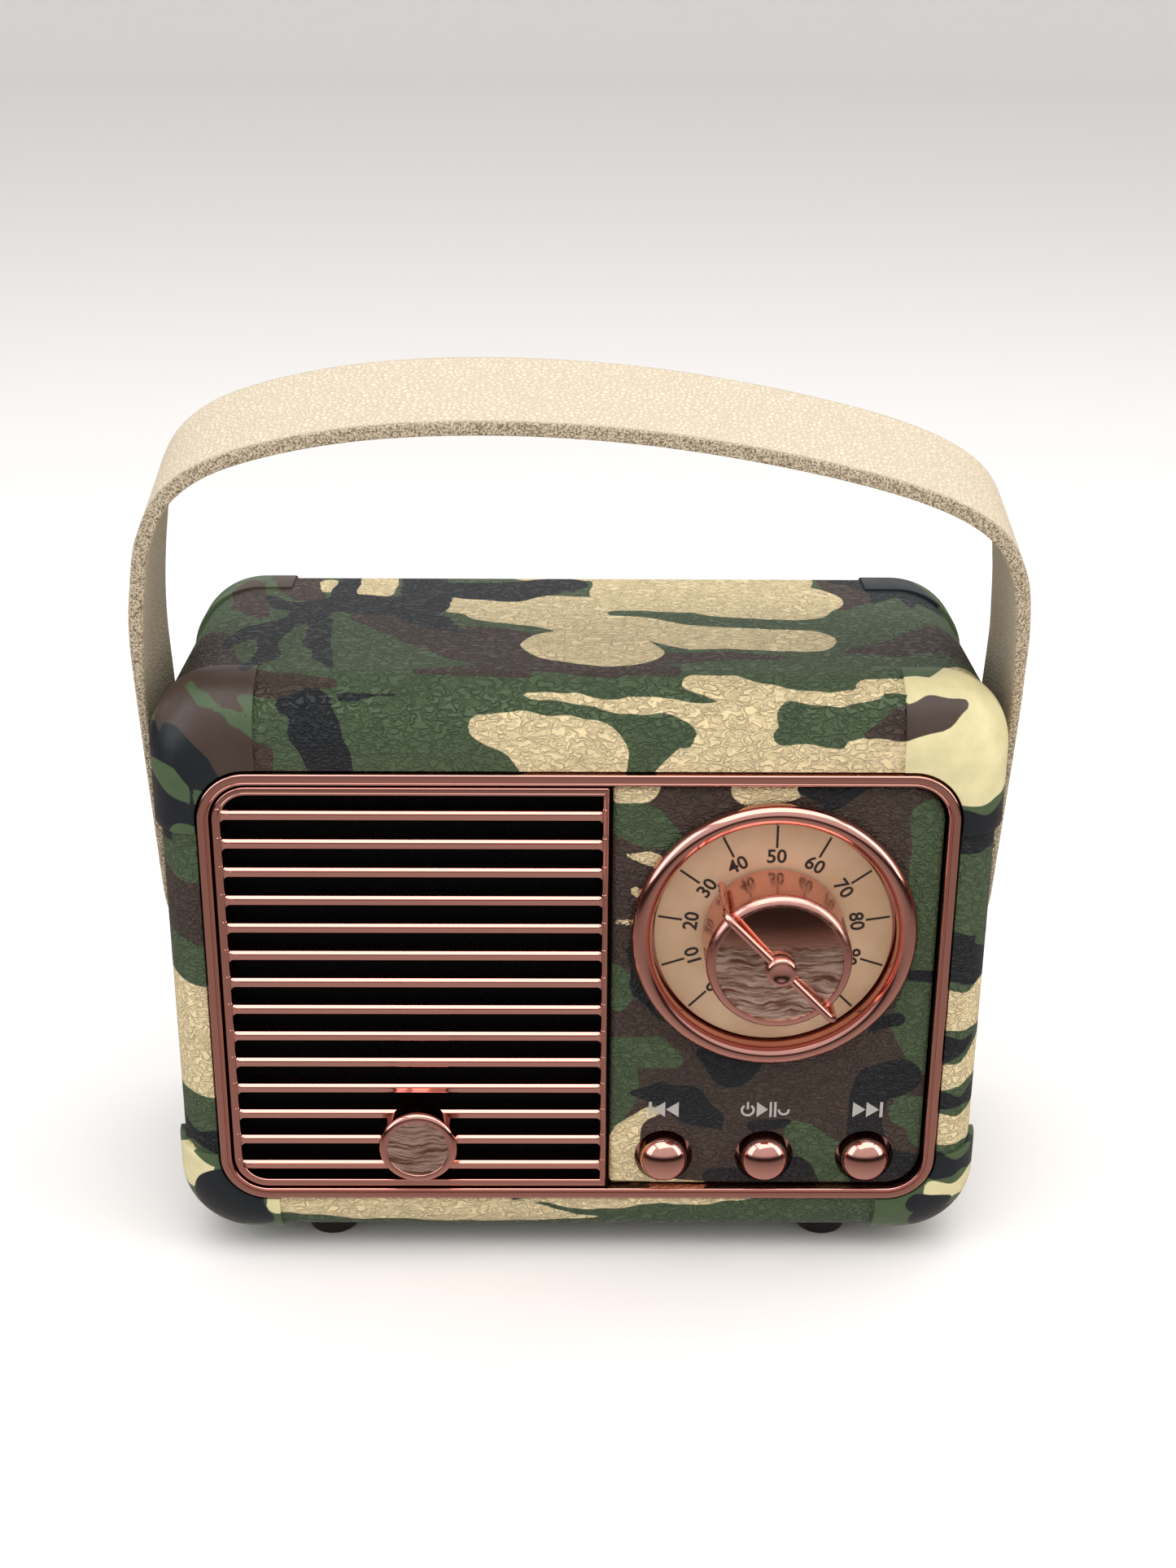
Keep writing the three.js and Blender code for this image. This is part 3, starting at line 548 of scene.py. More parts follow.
def under(stops):
    """Stops (x, distance from the frame's lower edge, radius) on the front lower edge and the bottom."""
    x, run, radius = np.asarray(stops, float).T
    outwards, depth = folded(run, under_flat, under_reach)
    return np.stack([x, front + depth, frame_low[2] - outwards, radius], axis=1)


def on_plane(y, stops):
    """Stops (x, z, radius) on a flat face at one depth."""
    x, z, radius = np.asarray(stops, float).T
    return np.stack([x, y + 0 * x, z, radius], axis=1)


# %% [markdown]
# ## The patches of the print
#
# Each line below is one patch: its ink, and the stops of its stroke. A stop ends with the radius of the
# brush. The front, the top and the slivers of the sides follow the real radio; the back and the underside are
# free.

# %% The patches of the top, laid from the back forwards
top_patches = [
    # browns under the rest
    (
        "brown",
        [
            (-53, 34, 3.5),
            (-49, 27, 3.4),
            (-47.5, 18, 3.6),
            (-42.5, 12.3, 2.6),
            (-36, 11.6, 2),
            (-30.5, 11.6, 0.8),
        ],
    ),
    ("brown", [(-46.5, 51, 2.2), (-45.2, 43, 2.8), (-43.6, 37, 1.6)]),
    ("brown", [(-40, 53, 3.6), (-37.6, 46, 2.4), (-36, 43, 1.2)]),
    (
        "brown",
        [(-29, 36.5, 2.2), (-24, 33, 3.4), (-19, 28.5, 4.6), (-13, 25, 7), (-8, 22, 7), (-3, 19.5, 4.4)],
    ),
    ("brown", [(-20.5, 14.1, 0.7), (-14, 14.8, 1.4), (-6.5, 13.4, 0.6)]),
    ("brown", [(-6, 16.5, 2.2), (4, 14.8, 1.6), (11, 15, 1.7)]),
    ("brown", [(9, 19.5, 2.4), (18, 20, 1.6), (26, 19.6, 0.7)]),
    ("brown", [(34, 22, 0.7), (40, 23, 2.6), (46, 26.5, 4.4), (51, 31, 5)]),
    ("brown", [(37, 53, 3), (38, 46, 3), (36, 41, 1.4)]),
    # tans of the back and the middle
    ("tan", [(-35.3, 52, 1.4), (-34.8, 48, 0.9)]),
    ("tan", [(-29, 55, 3.4), (-28.3, 48.2, 2.9)]),
    ("tan", [(-16.6, 41.8, 3.7), (-8, 41.2, 5), (0, 42, 4)]),
    ("tan", [(-12, 38.4, 3.8), (-4, 36.4, 4.4), (3, 32, 5)]),
    ("tan", [(8.6, 55, 6.6), (8.8, 46.2, 6.9), (22, 45.5, 7.2), (29.6, 44.3, 6.9)]),
    ("tan", [(20, 42, 5.6), (29, 41, 5.6)]),
    ("tan", [(16, 54, 6.5), (27, 54, 6.5)]),
    ("tan", [(3.6, 35, 5.4), (3.4, 26, 5.4)]),
    ("tan", [(-1.2, 24, 6.3), (4.6, 22, 6)]),
    ("tan", [(8.6, 31.6, 4.4), (15.5, 27.8, 4.6), (29.2, 26.6, 4.5)]),
    # the thin green wedge between them
    (
        "green",
        [(4.6, 38, 1.1), (8.5, 37.6, 1.2), (14, 36, 1.1), (20, 33.4, 1.4), (28, 33, 1.5), (34, 33.5, 3)],
    ),
    # tans of the front edge
    ("tan", [(14.3, 12.4, 1.5), (18.5, 11.4, 1.7), (23.5, 9.8, 1.6), (30, 9.5, 1.1), (37, 10.3, 0.8)]),
    ("tan", [(35.6, 11.5, 1.1), (42, 11.6, 1.3), (49, 11.4, 1.7), (52, 9, 3)]),
    ("tan", [(-6.3, 9.9, 0.5), (0, 9.5, 0.65), (6, 8.7, 0.9), (12, 7.8, 1.4), (17, 7.0, 2.2), (22, 8, 2.2)]),
    (
        "tan",
        [(12, -1.5, 3.4), (14.6, 1.4, 2.8), (18.4, 4.6, 3.2), (24, 3.6, 4.4), (22, -1, 8), (36, 0.5, 4.4)],
    ),
    ("tan", [(36, 2.5, 3), (44, 3, 4.4), (49, 2.5, 6.6)]),
    (
        "green",
        [
            (-9.5, 8.7, 0.3),
            (-2.5, 8.5, 0.35),
            (2, 7.8, 0.6),
            (6, 6.3, 1.3),
            (10.4, 5.3, 1.8),
            (12.4, 4.9, 1.8),
        ],
    ),
    ("green", [(9, 4.4, 1.9), (8.6, 2.4, 1.7), (7.2, -0.5, 1.2)]),
    ("tan", [(-12.2, 6.1, 1.7), (-7.5, 4.9, 2.7), (-1.5, 3.9, 3.3), (1.8, 2.8, 3.8), (2.0, -2, 3.8)]),
    ("tan", [(-8, 3.6, 1.6), (-3.5, -0.5, 3)]),
    # greens and dark patches over the tans
    ("green", [(26.4, 6.9, 2.2), (31, 6.4, 2.2), (36, 6.9, 1.7)]),
    ("green", [(25, 4.9, 1.2), (31.8, 4.6, 1.2)]),
    ("brown", [(35.5, 5.2, 0.5), (40, 6.4, 2), (44, 7.6, 2.2), (47.6, 9.2, 0.7)]),
    # navy branches of the left
    ("navy", [(-32.4, 55, 1.5), (-32.6, 45, 1.9)]),
    ("navy", [(-22, 55, 3.2), (-21, 44, 3.4)]),
    ("navy", [(-37, 41, 2.6), (-30, 42, 4.2), (-22, 41, 4.2)]),
    ("navy", [(-23.5, 38.5, 2.6), (-19.5, 34, 2.4), (-15.8, 30.4, 0.9)]),
    ("navy", [(-16.5, 49.5, 3), (-10, 50, 2.4), (-2, 51.5, 3.4)]),
    ("navy", [(-15.6, 47, 2.4), (-9.4, 46.4, 2.9), (-4, 49, 2.4)]),
    ("navy", [(-42.8, 45, 0.9), (-40.6, 41.5, 1.6), (-36, 40.5, 2.6)]),
    ("navy", [(-36.5, 38, 3), (-38.5, 34, 1.8), (-42.6, 30, 1.9), (-44.6, 26.4, 1.5), (-45.7, 22.4, 0.4)]),
    ("navy", [(-38.5, 34, 1.5), (-40.3, 27, 1.4), (-40, 20, 1.5), (-42, 14.4, 0.8)]),
    ("navy", [(-34.4, 34, 1.6), (-34, 25, 1.7), (-32.8, 19, 1.1), (-31.3, 15.2, 0.4)]),
    ("navy", [(-36.4, 8.6, 1.2), (-32.8, 8.8, 2.0), (-32.8, 5.5, 3.1), (-31.4, 2, 2.8), (-30.4, 0, 2.3)]),
    ("navy", [(-29.5, 9.6, 0.7), (-22.6, 10.1, 0.3)]),
    # navy of the far right corner
    ("navy", [(38, 55, 3), (44, 51.5, 4.2), (49, 47, 3.6)]),
    ("navy", [(43, 48, 2), (40.5, 43.5, 0.5)]),
    ("navy", [(46, 47, 1.8), (45.6, 41.4, 0.4)]),
    # the left guard: a green strip across the brown, navy at its tip
    ("brown", [(-53, 18, 4.5), (-50, 12, 5.5), (-47, 6, 5.5), (-42.5, 1.5, 4.6)]),
    ("green", [(-49, 13, 0.4), (-46.5, 9.6, 0.7), (-42.5, 6.8, 0.8), (-39.2, 4.8, 1.3)]),
    ("navy", [(-54, 7, 2.2), (-51, 4, 2.0), (-47, 0, 2.3)]),
]

# %% The patches of the sides, the front lower edge and the back
left_patches = [
    ("navy", [(0, 64, 3.4), (8, 66, 4), (20, 63, 4.6), (34, 66, 3.6), (46, 64, 4)]),
    ("navy", [(2, 75, 3), (10, 74, 2.6)]),
    ("green", [(2, 69.9, 1.2), (12, 70.4, 1)]),
    ("green", [(1.8, 62.4, 2.4)]),
    ("brown", [(0, 52, 4.4), (10, 54, 4.6), (24, 51, 5), (40, 53, 6), (50, 52, 4)]),
    ("navy", [(14, 45, 1.6), (24, 44, 2.6), (36, 43, 1.2)]),
    ("tan", [(-1, 33.4, 8.3), (8, 34, 8.4), (18, 32, 7), (30, 33, 5.4), (40, 36, 2.4)]),
    ("brown", [(22, 24, 2), (34, 25, 4), (50, 28, 5)]),
    ("navy", [(0, 18.4, 1.8), (9, 19, 2), (20, 17, 2.6), (36, 16, 3.4)]),
    ("navy", [(0, 6, 3), (14, 5, 3.2), (30, 6, 2)]),
    ("tan", [(0.5, 12.6, 2), (6, 13.4, 3.2), (13, 11.4, 3), (22, 10.4, 1.6)]),
]
right_patches = [
    ("tan", [(1, 77, 9.4), (7, 78, 9.6)]),
    ("navy", [(0, 64, 3.1), (8, 64, 3.2), (20, 61, 4), (36, 63, 4.6), (50, 60, 4)]),
    ("navy", [(0, 46.4, 3.6), (8, 45, 4), (18, 43.4, 3), (30, 46, 3.4), (44, 44, 4.4)]),
    ("green", [(5.4, 48.4, 1), (9.5, 46, 1)]),
    ("tan", [(-1, 38.6, 3), (7, 38.4, 3.2), (14, 36, 3), (26, 35, 2.6), (38, 37, 1.2)]),
    ("navy", [(0, 32.8, 2.2), (5.5, 33.4, 0.7)]),
    ("tan", [(0, 28.4, 1.9), (8, 30, 2.6), (16, 28, 3), (28, 29, 3.4)]),
    ("navy", [(0, 25, 1.4), (8, 24.4, 1.5), (18, 22, 2), (34, 22.6, 3.4)]),
    ("brown", [(28, 54, 2), (40, 54, 3.6)]),
    ("tan", [(0, 20.6, 2.4), (8, 20, 2.6), (20, 17.6, 2)]),
    ("navy", [(0, 15, 2.2), (8, 14.6, 2), (22, 13.6, 1.6)]),
    ("tan", [(0, 11.2, 1.5), (7, 11, 2), (18, 9.6, 1.5)]),
    ("navy", [(0, 5.6, 2.6), (12, 5, 2.6), (26, 4, 2)]),
]
under_patches = [
    ("tan", [(-40.5, 1.2, 1.6), (-30, 1.6, 2.4), (-18, 2, 3), (-6, 2, 3), (8, 1.2, 2), (24, 0.2, 1.2)]),
    ("green", [(-9, 0.4, 0.4), (0, 2.6, 0.4), (9, 3.6, 1.8), (20, 3.6, 2.4), (30, 2, 2.8), (38, 2, 3)]),
    ("navy", [(-47, 1, 5.6), (-43, 4, 2)]),
    ("tan", [(-41.4, 0.9, 1)]),
    ("navy", [(-30, 24, 5), (-14, 20, 4), (-6, 26, 5)]),
    ("brown", [(4, 18, 4), (18, 22, 6), (34, 20, 4)]),
    ("tan", [(-20, 38, 4), (0, 40, 5), (14, 36, 3)]),
    ("navy", [(46, 1.2, 1.6), (50, 1, 1.4)]),
]
back_face = front + case_depth
back_patches = [
    ("brown", [(-50, 70, 5), (-38, 74, 4), (-24, 79, 4)]),
    ("tan", [(-6, 83, 4), (8, 81, 3), (22, 83, 4)]),
    ("navy", [(34, 80, 4), (50, 74, 5)]),
    ("tan", [(51, 56, 4), (50, 44, 3)]),
    ("navy", [(-51, 52, 4), (-50, 40, 3)]),
    ("brown", [(50, 26, 4), (48, 14, 4)]),
    ("tan", [(-50, 26, 4), (-48, 16, 3)]),
    ("navy", [(-30, 5, 3), (-12, 6, 2.4)]),
    ("brown", [(6, 5, 3), (24, 6, 3)]),
]
cover_patches = [
    ("brown", [(-44, 66, 5), (-34, 60, 4.6), (-24, 62, 3)]),
    ("brown", [(-8, 38, 4), (6, 34, 6.4), (20, 38, 5), (30, 34, 2)]),
    ("brown", [(-40, 16, 5), (-28, 12, 4)]),
    ("tan", [(-44, 46, 4.6), (-32, 44, 5.6), (-20, 48, 4), (-10, 50, 1.6)]),
    ("tan", [(10, 51.5, 2), (24, 48, 3.6), (38, 50, 5.2), (46, 46, 4)]),
    ("tan", [(-14, 22, 3), (-2, 18, 4.4), (12, 21, 3.4), (18, 17, 1.6)]),
    ("tan", [(34, 22, 3), (42, 18, 4.6)]),
    ("navy", [(-36, 33, 2.4), (-28, 30, 3.6), (-18, 31, 2), (-14, 35, 0.9)]),
    ("navy", [(-26, 30, 2), (-24, 24, 1.6), (-27, 19, 0.8)]),
    ("navy", [(22, 66, 2), (34, 64, 4), (44, 60, 3)]),
    ("navy", [(20, 29, 1.4), (30, 28, 3), (40, 32, 3.6), (46, 36, 2)]),
    ("navy", [(-10, 10.5, 1.2), (6, 11, 2.4), (24, 10, 1.6)]),
    ("green", [(-34, 45, 1.4), (-26, 43.4, 1.6)]),
]
case_patches = (
    [(ink, on_plane(back_face, stops)) for ink, stops in back_patches]
    + [(ink, on_side(-1, stops)) for ink, stops in left_patches]
    + [(ink, on_side(1, stops)) for ink, stops in right_patches]
    + [(ink, under(stops)) for ink, stops in under_patches]
    + [(ink, on_top(stops)) for ink, stops in top_patches]
)
print(len(case_patches), "patches on the case")

# %% The patches of the control panel
panel_patches = [
    ("green", [(4.5, 66.4, 2.6), (8.4, 64.4, 2.6), (11, 62.6, 1.8)]),
    ("tan", [(3.6, 69.9, 1.9), (8.4, 69.4, 1.8)]),
    ("tan", [(21.6, 70, 2.6), (26.6, 70.4, 2.6)]),
    ("navy", [(28.6, 69.8, 1.5), (32, 68.6, 1.6), (35.4, 70, 0.8)]),
    ("green", [(44.6, 65, 3), (46, 58, 4), (46, 50, 3.8), (45.5, 44, 2.8), (44.6, 37, 3.4), (46, 31, 2.6)]),
    ("navy", [(42.6, 43.4, 0.8), (47, 42.8, 0.9)]),
    ("navy", [(38.6, 36.2, 1), (41.8, 37, 1)]),
    ("tan", [(6, 60.6, 0.3), (8.6, 60, 0.7), (10.4, 59.2, 0.8)]),
    ("tan", [(7, 55.6, 0.6), (8, 54.6, 0.5)]),
    ("tan", [(4, 51.5, 0.3), (6.6, 51.2, 0.5)]),
    ("navy", [(7, 47, 1), (9, 42, 2.2), (12, 38, 2)]),
    ("green", [(4.2, 43.4, 1.9), (5, 40.2, 1.8)]),
    ("green", [(5.5, 32.4, 2.2), (10, 31.8, 2.3), (12.2, 31, 1.6)]),
    ("green", [(4.6, 31, 3), (5, 25.6, 2.7), (4, 22, 1.8)]),
    ("navy", [(7, 26, 0.4), (10.4, 25.6, 1.5), (14.4, 24.4, 2.5), (17.4, 21.4, 2.1), (18.4, 19.6, 0.8)]),
    ("navy", [(16.8, 32, 1.2), (20, 30.2, 3.2), (22.4, 31, 2)]),
    ("tan", [(9.4, 22, 1.6), (7, 19.4, 2.3), (5.4, 15.4, 2.8), (7.4, 13, 2.3)]),
    ("brown", [(10.6, 19.8, 2.2), (12.6, 17.2, 4.2), (17, 17, 3.8)]),
    ("tan", [(8, 11.7, 0.9), (22, 11.5, 0.7)]),
    ("navy", [(18, 13, 1.4), (25, 12.8, 1.6), (30, 13.4, 2.6)]),
    ("navy", [(23.6, 20.9, 1), (28.6, 21, 0.7)]),
    ("green", [(30, 19, 2.5), (33.6, 16.6, 2.3), (34.4, 12.4, 2)]),
    ("green", [(4, 11.6, 1), (9, 11.4, 0.6)]),
    ("navy", [(39, 27.2, 2.9), (42.4, 28.2, 2.8)]),
    ("navy", [(38.6, 26, 2.6), (38.4, 20, 2.2), (40, 14, 3.6), (45, 12.6, 3.6)]),
    ("green", [(43.8, 23, 2.3), (47, 22, 2.8), (46.4, 19.4, 2.2)]),
]
print(len(panel_patches), "patches on the control panel")

# %% [markdown]
# ## The case
#
# The case is one hollow body: an outer skin with soft front and back edges, a thin front rim round the
# chromed frame, a ledge at the back for the rear cover, and the inner wall. Its outlines run along the
# outside from the frame to the back, turn in, and come forward again along the inside, where they meet the
# first one. So the grid closes on itself in both directions and the body has no open edge.

# %% The case body
WALL = 2.6
BACK_INSET = 0.25  # the covered back lies this much inside the guards
CASE_CORNER = 9.5
BACK_EDGE = 3.0
frame_half, frame_top, frame_bottom, frame_corner = frame_high[0], frame_high[2], frame_low[2], 6.3
SEAM = 0.3
cover_low, cover_high = box_mm("rear_cover")


def edge_station(share, grow, side_pull, top_pull, under_pull, corner_pull, depth):
    """Outline on a soft edge: share 0 is its end face and 1 is the full outline, a quarter of an ellipse
    apart."""
    pull = 1 - math.sin(share * math.pi / 2)
    half = case_half + grow - side_pull * pull
    return station(
        depth, half, case_low - grow + under_pull * pull, case_high + grow - top_pull * pull,
        CASE_CORNER + grow - corner_pull * pull,
    )


def soft_edge(shares, depth_at, pulls, grow_side, grow):
    """Stations for several shares of a soft edge; grow_side widens it further, by more towards the full
    outline."""
    rows = []
    for share in shares:
        row = list(edge_station(share, grow, *pulls, depth_at(share)))
        row[1] -= grow_side * math.sin(share * math.pi / 2)
        row[2] += grow_side * math.sin(share * math.pi / 2)
        rows.append(row)
    return np.array(rows)


def front_edge(steps, grow_side=0.0, grow=0.0, lift=0.0):
    """Stations of the soft front edge, from the front face back to the full outline."""
    pulls = (side_reach, top_reach, under_reach, 3.0)
    return soft_edge(
        np.linspace(0, 1, steps + 1),
        lambda share: face_start - lift + FRONT_EDGE * (1 - math.cos(share * math.pi / 2)),
        pulls,
        grow_side,
        grow,
    )


def back_edge(steps, grow_side=0.0, grow=0.0):
    """Stations of the soft back edge, from the full outline to the back face."""
    pulls = (2.2, 2.2, 2.2, 1.2)
    return soft_edge(
        np.linspace(1, 0, steps + 1),
        lambda share: case_depth - BACK_EDGE * (1 - math.cos(share * math.pi / 2)),
        pulls,
        grow_side,
        grow,
    )


def frame_seat(depth, spare=SEAM):
    """The hole that the chromed frame sits in, at one depth."""
    return np.array(
        [station(depth, frame_half + spare, frame_bottom - spare, frame_top + spare, frame_corner + spare)]
    )


def cover_seat(depth, spare=SEAM):
    """The recess that the rear cover sits in, at one depth."""
    half, low, high = cover_high[0] + spare, cover_low[2] - spare, cover_high[2] + spare
    return np.array([station(depth, half, low, high, 6.0)])


wall_front, rear_wall, ledge = 3.2, 44.4, 46.9  # depths of the inner rim, of the rear wall and of its ledge
front_face = front_edge(16)
back_curve = back_edge(6)
back_curve[:, 0] -= BACK_INSET
full = front_face[-1].copy()
inside_full = np.array(
    station(rear_wall, case_half - WALL, case_low + WALL, case_high - WALL, CASE_CORNER - WALL)
)
inside_front = inside_full.copy()
inside_front[0] = 9.0
inside_rim = np.array(station(wall_front, 48.9, case_low + 6.9, case_high - 8.7, 6.8))
opening = np.array(station(ledge, 42, 12.6, 72.6, 5))
opening_front = opening.copy()
opening_front[0] = rear_wall
straight_end = back_curve[0]
case_stations = np.vstack(
    [
        frame_seat(wall_front),
        frame_seat(face_start),
        front_face,
        between(full, straight_end, 44),
        back_curve[1:],
        between(back_curve[-1], cover_seat(case_depth - BACK_INSET)[0], 5),
        cover_seat(ledge),
        opening,
        opening_front,
        inside_full,
        inside_front,
        inside_rim,
    ]
)
fine_loop = samples(124, 88, 18)
case_body = make("case_leatherette", grid(loops(case_stations, fine_loop), wrap_rows=True))
print_inks(case_body, "green", case_patches)
dress(case_body, leatherette, "cabinet", ["cabinet_shell"])

# %% [markdown]
# ## Corner guards
#
# Eight thin moulded caps clip over the corners of the covering. A guard follows the same outlines as the
# case, a little larger, but only round its own corner: a short way along the top or bottom, round the bend,
# and a way down or up the side. Solidify gives the patch its thickness inwards and a small bevel softens the
# rim.

# %% The guards
GUARD_THICKNESS = 0.9
guard_low, guard_high = box_mm("guard_front_top_right")
guard_inner_x, guard_leg_low = guard_low[0], guard_low[2]
guard_side = guard_high[0] - case_half
guard_leg_high = box_mm("guard_front_bottom_right")[1][2]
guard_front_stations = np.vstack(
    [frame_seat(face_start - SEAM), front_edge(18, guard_side - SEAM, SEAM, SEAM)]
)
guard_back_curve = back_edge(8, guard_side - SEAM, SEAM)
guard_back_start = guard_back_curve[:1].copy()
guard_back_start[0, 0] = box_mm("guard_rear_top_right")[0][1] - front
guard_back_stations = np.vstack([guard_back_start, guard_back_curve, cover_seat(case_depth)])


def corner_patch(stations, right, top):
    """The part of the outlines round one corner: x runs out to the corner centre, the bend turns a quarter,
    and z runs along the side to the end of the leg."""
    depth, _, half, low, high, _, radius = [column[:, None] for column in stations.T]
    outward = 1 if right else -1
    upward = 1 if top else -1
    level = high - radius if top else low + radius
    leg_end = guard_leg_low if top else guard_leg_high
    along = np.linspace(0, 1, 9)
    bend = np.radians(np.linspace(90, 0, 20))
    x_run = guard_inner_x + along * (half - radius - guard_inner_x)
    x_bend = half - radius + radius * np.cos(bend)
    x_leg = half + 0 * along[1:]
    z_run = level + upward * radius + 0 * along
    z_bend = level + upward * radius * np.sin(bend)
    z_leg = level + along[1:] * (leg_end - level)
    x = outward * np.hstack([x_run[:, :-1], x_bend, x_leg])
    z = np.hstack([z_run[:, :-1], z_bend, z_leg])
    points = np.stack([x, front + depth + 0 * x, z], axis=-1)
    return points if right == top else points[:, ::-1]


def guard(end, level, side):
    """One moulded corner guard."""
    stations = guard_front_stations if end == "front" else guard_back_stations
    points = corner_patch(stations, side == "right", level == "top")
    node = f"guard_{end}_{level}_{side}"
    cap = make(f"corner_cap_{end}_{level}_{side}", grid(points, wrap_columns=False))
    middle_face = cap.data.polygons[len(cap.data.polygons) // 2]
    outwards = np.array(middle_face.center) / MM - (0, front + case_depth / 2, (case_low + case_high) / 2)
    if np.dot(middle_face.normal, outwards) < 0:
        cap.data.flip_normals()
    thick = cap.modifiers.new("thickness", "SOLIDIFY")
    thick.thickness = GUARD_THICKNESS * MM
    thick.offset = -1
    rim = cap.modifiers.new("rim", "BEVEL")
    rim.width = 0.16 * MM
    rim.segments = 2
    rim.limit_method = "ANGLE"
    rim.angle_limit = math.radians(50)
    settle(cap)
    print_inks(cap, "green", case_patches)
    dress(cap, guard_plastic, "cabinet", [node])


for end in ("front", "rear"):
    for level in ("top", "bottom"):
        for side in ("left", "right"):
            guard(end, level, side)

# %% [markdown]
# ## Rose-gold chrome
#
# The bright parts are ABS plated with a thin rose-gold metal: a mirror with a warm tint, hardly any
# roughness, and the faintest waviness of moulded plastic under the plating. A metal keeps the default IOR,
# and its base colour is the colour of its reflections.

# %% Chrome finishes
def rose_gold_finish(
    name="rose_gold_plate", tint="#E2A69A", ripple=0.006, ripple_per_mm=0.35, roughness=0.09
):
    """Vacuum-plated ABS: mirror reflections in a warm tint over a slightly wavy moulding."""
    finish, tree, body, in_mm = new_finish(name, Metallic=1.0, Base_Color=colour(tint))
    haze = spread(tree, noise(tree, in_mm, 0.9, detail=4), roughness * 0.6, roughness * 1.6)
    tree.links.new(haze, body.inputs["Roughness"])
    bumped(tree, body, noise(tree, in_mm, ripple_per_mm, detail=2), ripple, 0.6)
    return finish


def figured_gold_finish(name, plain_above):
    """The flat faces of the knob and the badge: the same plate over a moulded figure like wood grain, long
    wavy streaks in two tones. Above the given height in millimetres the figure runs out and the plate is
    plain."""
    finish, tree, body, in_mm = new_finish(name, Metallic=1.0, Base_Color=colour("#D3A08E"))
    waves = add(tree, "TexNoise", {"Vector": in_mm, "Scale": 0.22, "Detail": 2.0}).outputs["Color"]
    pulled = add(tree, "VectorMath", {0: waves, 1: (0.0, 0.0, 3.2)}, operation="MULTIPLY").outputs[0]
    bent = add(tree, "VectorMath", {0: pulled, 1: in_mm}, operation="ADD").outputs[0]
    stretched = add(tree, "Mapping", {"Vector": bent, "Scale": (0.1, 0.1, 1.0)}).outputs[0]
    streaks = noise(tree, stretched, 2.1, detail=6, roughness=0.7)
    height = add(tree, "SeparateXYZ", {0: in_mm}).outputs[2]
    plain = spread(tree, height, 0.0, 1.0, plain_above - 0.5, plain_above + 0.7)
    figure = blended(tree, spread(tree, streaks, 0.0, 1.0, 0.4, 0.6), colour("#8E6252"), colour("#FFE4D4"))
    shade = blended(tree, plain, figure, colour("#DFA592"))
    tree.links.new(shade, body.inputs["Base Color"])
    tree.links.new(spread(tree, plain, 0.24, 0.1, 0.0, 1.0), body.inputs["Roughness"])
    bumped(tree, body, streaks, 0.02, 0.3)
    return finish


rose_gold = rose_gold_finish()
satin_gold = rose_gold_finish("satin_rose_gold_plate", roughness=0.2)
knob_figure = figured_gold_finish("figured_rose_gold_knob", dial_z + 2.6)
badge_figure = figured_gold_finish("figured_rose_gold_badge", dial_z)

# %% [markdown]
# ## The chromed frame and the grille
#
# The frame is a moulded ring with a rounded outer edge and a fine bead along its inner edge. Its section is
# carried round the opening as stations again, and closes on itself. The grille is a rim of its own with
# fourteen louvres and a plain upright bar on the right. A louvre's top front corner is a small round nose
# that catches the light, and below it the face leans back. Where a louvre meets the rim it flares, so the
# slots have round ends.

# %% Front frame ring
FRAME_BAND = 1.5
frame_back = frame_high[1] - front


def ring_stations(section, left, right, low, high, left_radius, right_radius):
    """Stations for a ring: section rows are (inset from the outline, depth)."""
    inset, depth = np.asarray(section, float).T
    return np.stack(
        [
            depth, left + inset, right - inset, low + inset, high - inset,
            np.maximum(left_radius - inset, 0.05), np.maximum(right_radius - inset, 0.05),
        ],
        axis=1,
    )


frame_section = profile(
    (0.0, frame_back),
    arc((0.28, 0.3), (0.28, 0.28), 180, 270, 6),
    (0.92, 0.08),
    (0.98, 0.22),
    (1.06, 0.22),
    arc((FRAME_BAND - 0.2, 0.3), (0.2, 0.22), 200, 360, 6),
    (FRAME_BAND, frame_back),
)
frame_loop = samples(60, 40, 16)
frame_rows = ring_stations(
    frame_section, -frame_half, frame_half, frame_bottom, frame_top, frame_corner, frame_corner
)
frame_ring = make("front_frame_ring", grid(loops(frame_rows, frame_loop), wrap_rows=True), 30)
dress(frame_ring, rose_gold, "cabinet", ["front_frame"])

# %% Grille: rim and louvres
grille_low, grille_high = box_mm("grille")
RIM, SIDE_BAR = 1.1, 0.75
LOUVRES, PITCH, LOUVRE_HEIGHT, LOUVRE_DROP = 14, 3.92, 1.3, 0.3
grille_front, grille_back = grille_low[1] - front, grille_high[1] - front
rim_corner = frame_corner - FRAME_BAND - SEAM


def rim_section(width):
    """A low rim: rounded outer edge, flat face and a bead along its inner edge."""
    return profile(
        (0.0, grille_back),
        arc((0.25, grille_front + 0.3), (0.25, 0.25), 180, 270, 4),
        arc((width - 0.2, grille_front + 0.2), (0.2, 0.2), 220, 360, 6),
        (width, grille_back),
    )


rim_rows = ring_stations(
    rim_section(RIM), grille_low[0], grille_high[0], grille_low[2], grille_high[2], rim_corner, 0.3
)
rim_rows[:, 2] = grille_high[0] - np.interp(rim_rows[:, 1] - grille_low[0], (0, RIM), (0, SIDE_BAR))
grille_parts = [grid(loops(rim_rows, samples(50, 60, 12)), wrap_rows=True)]

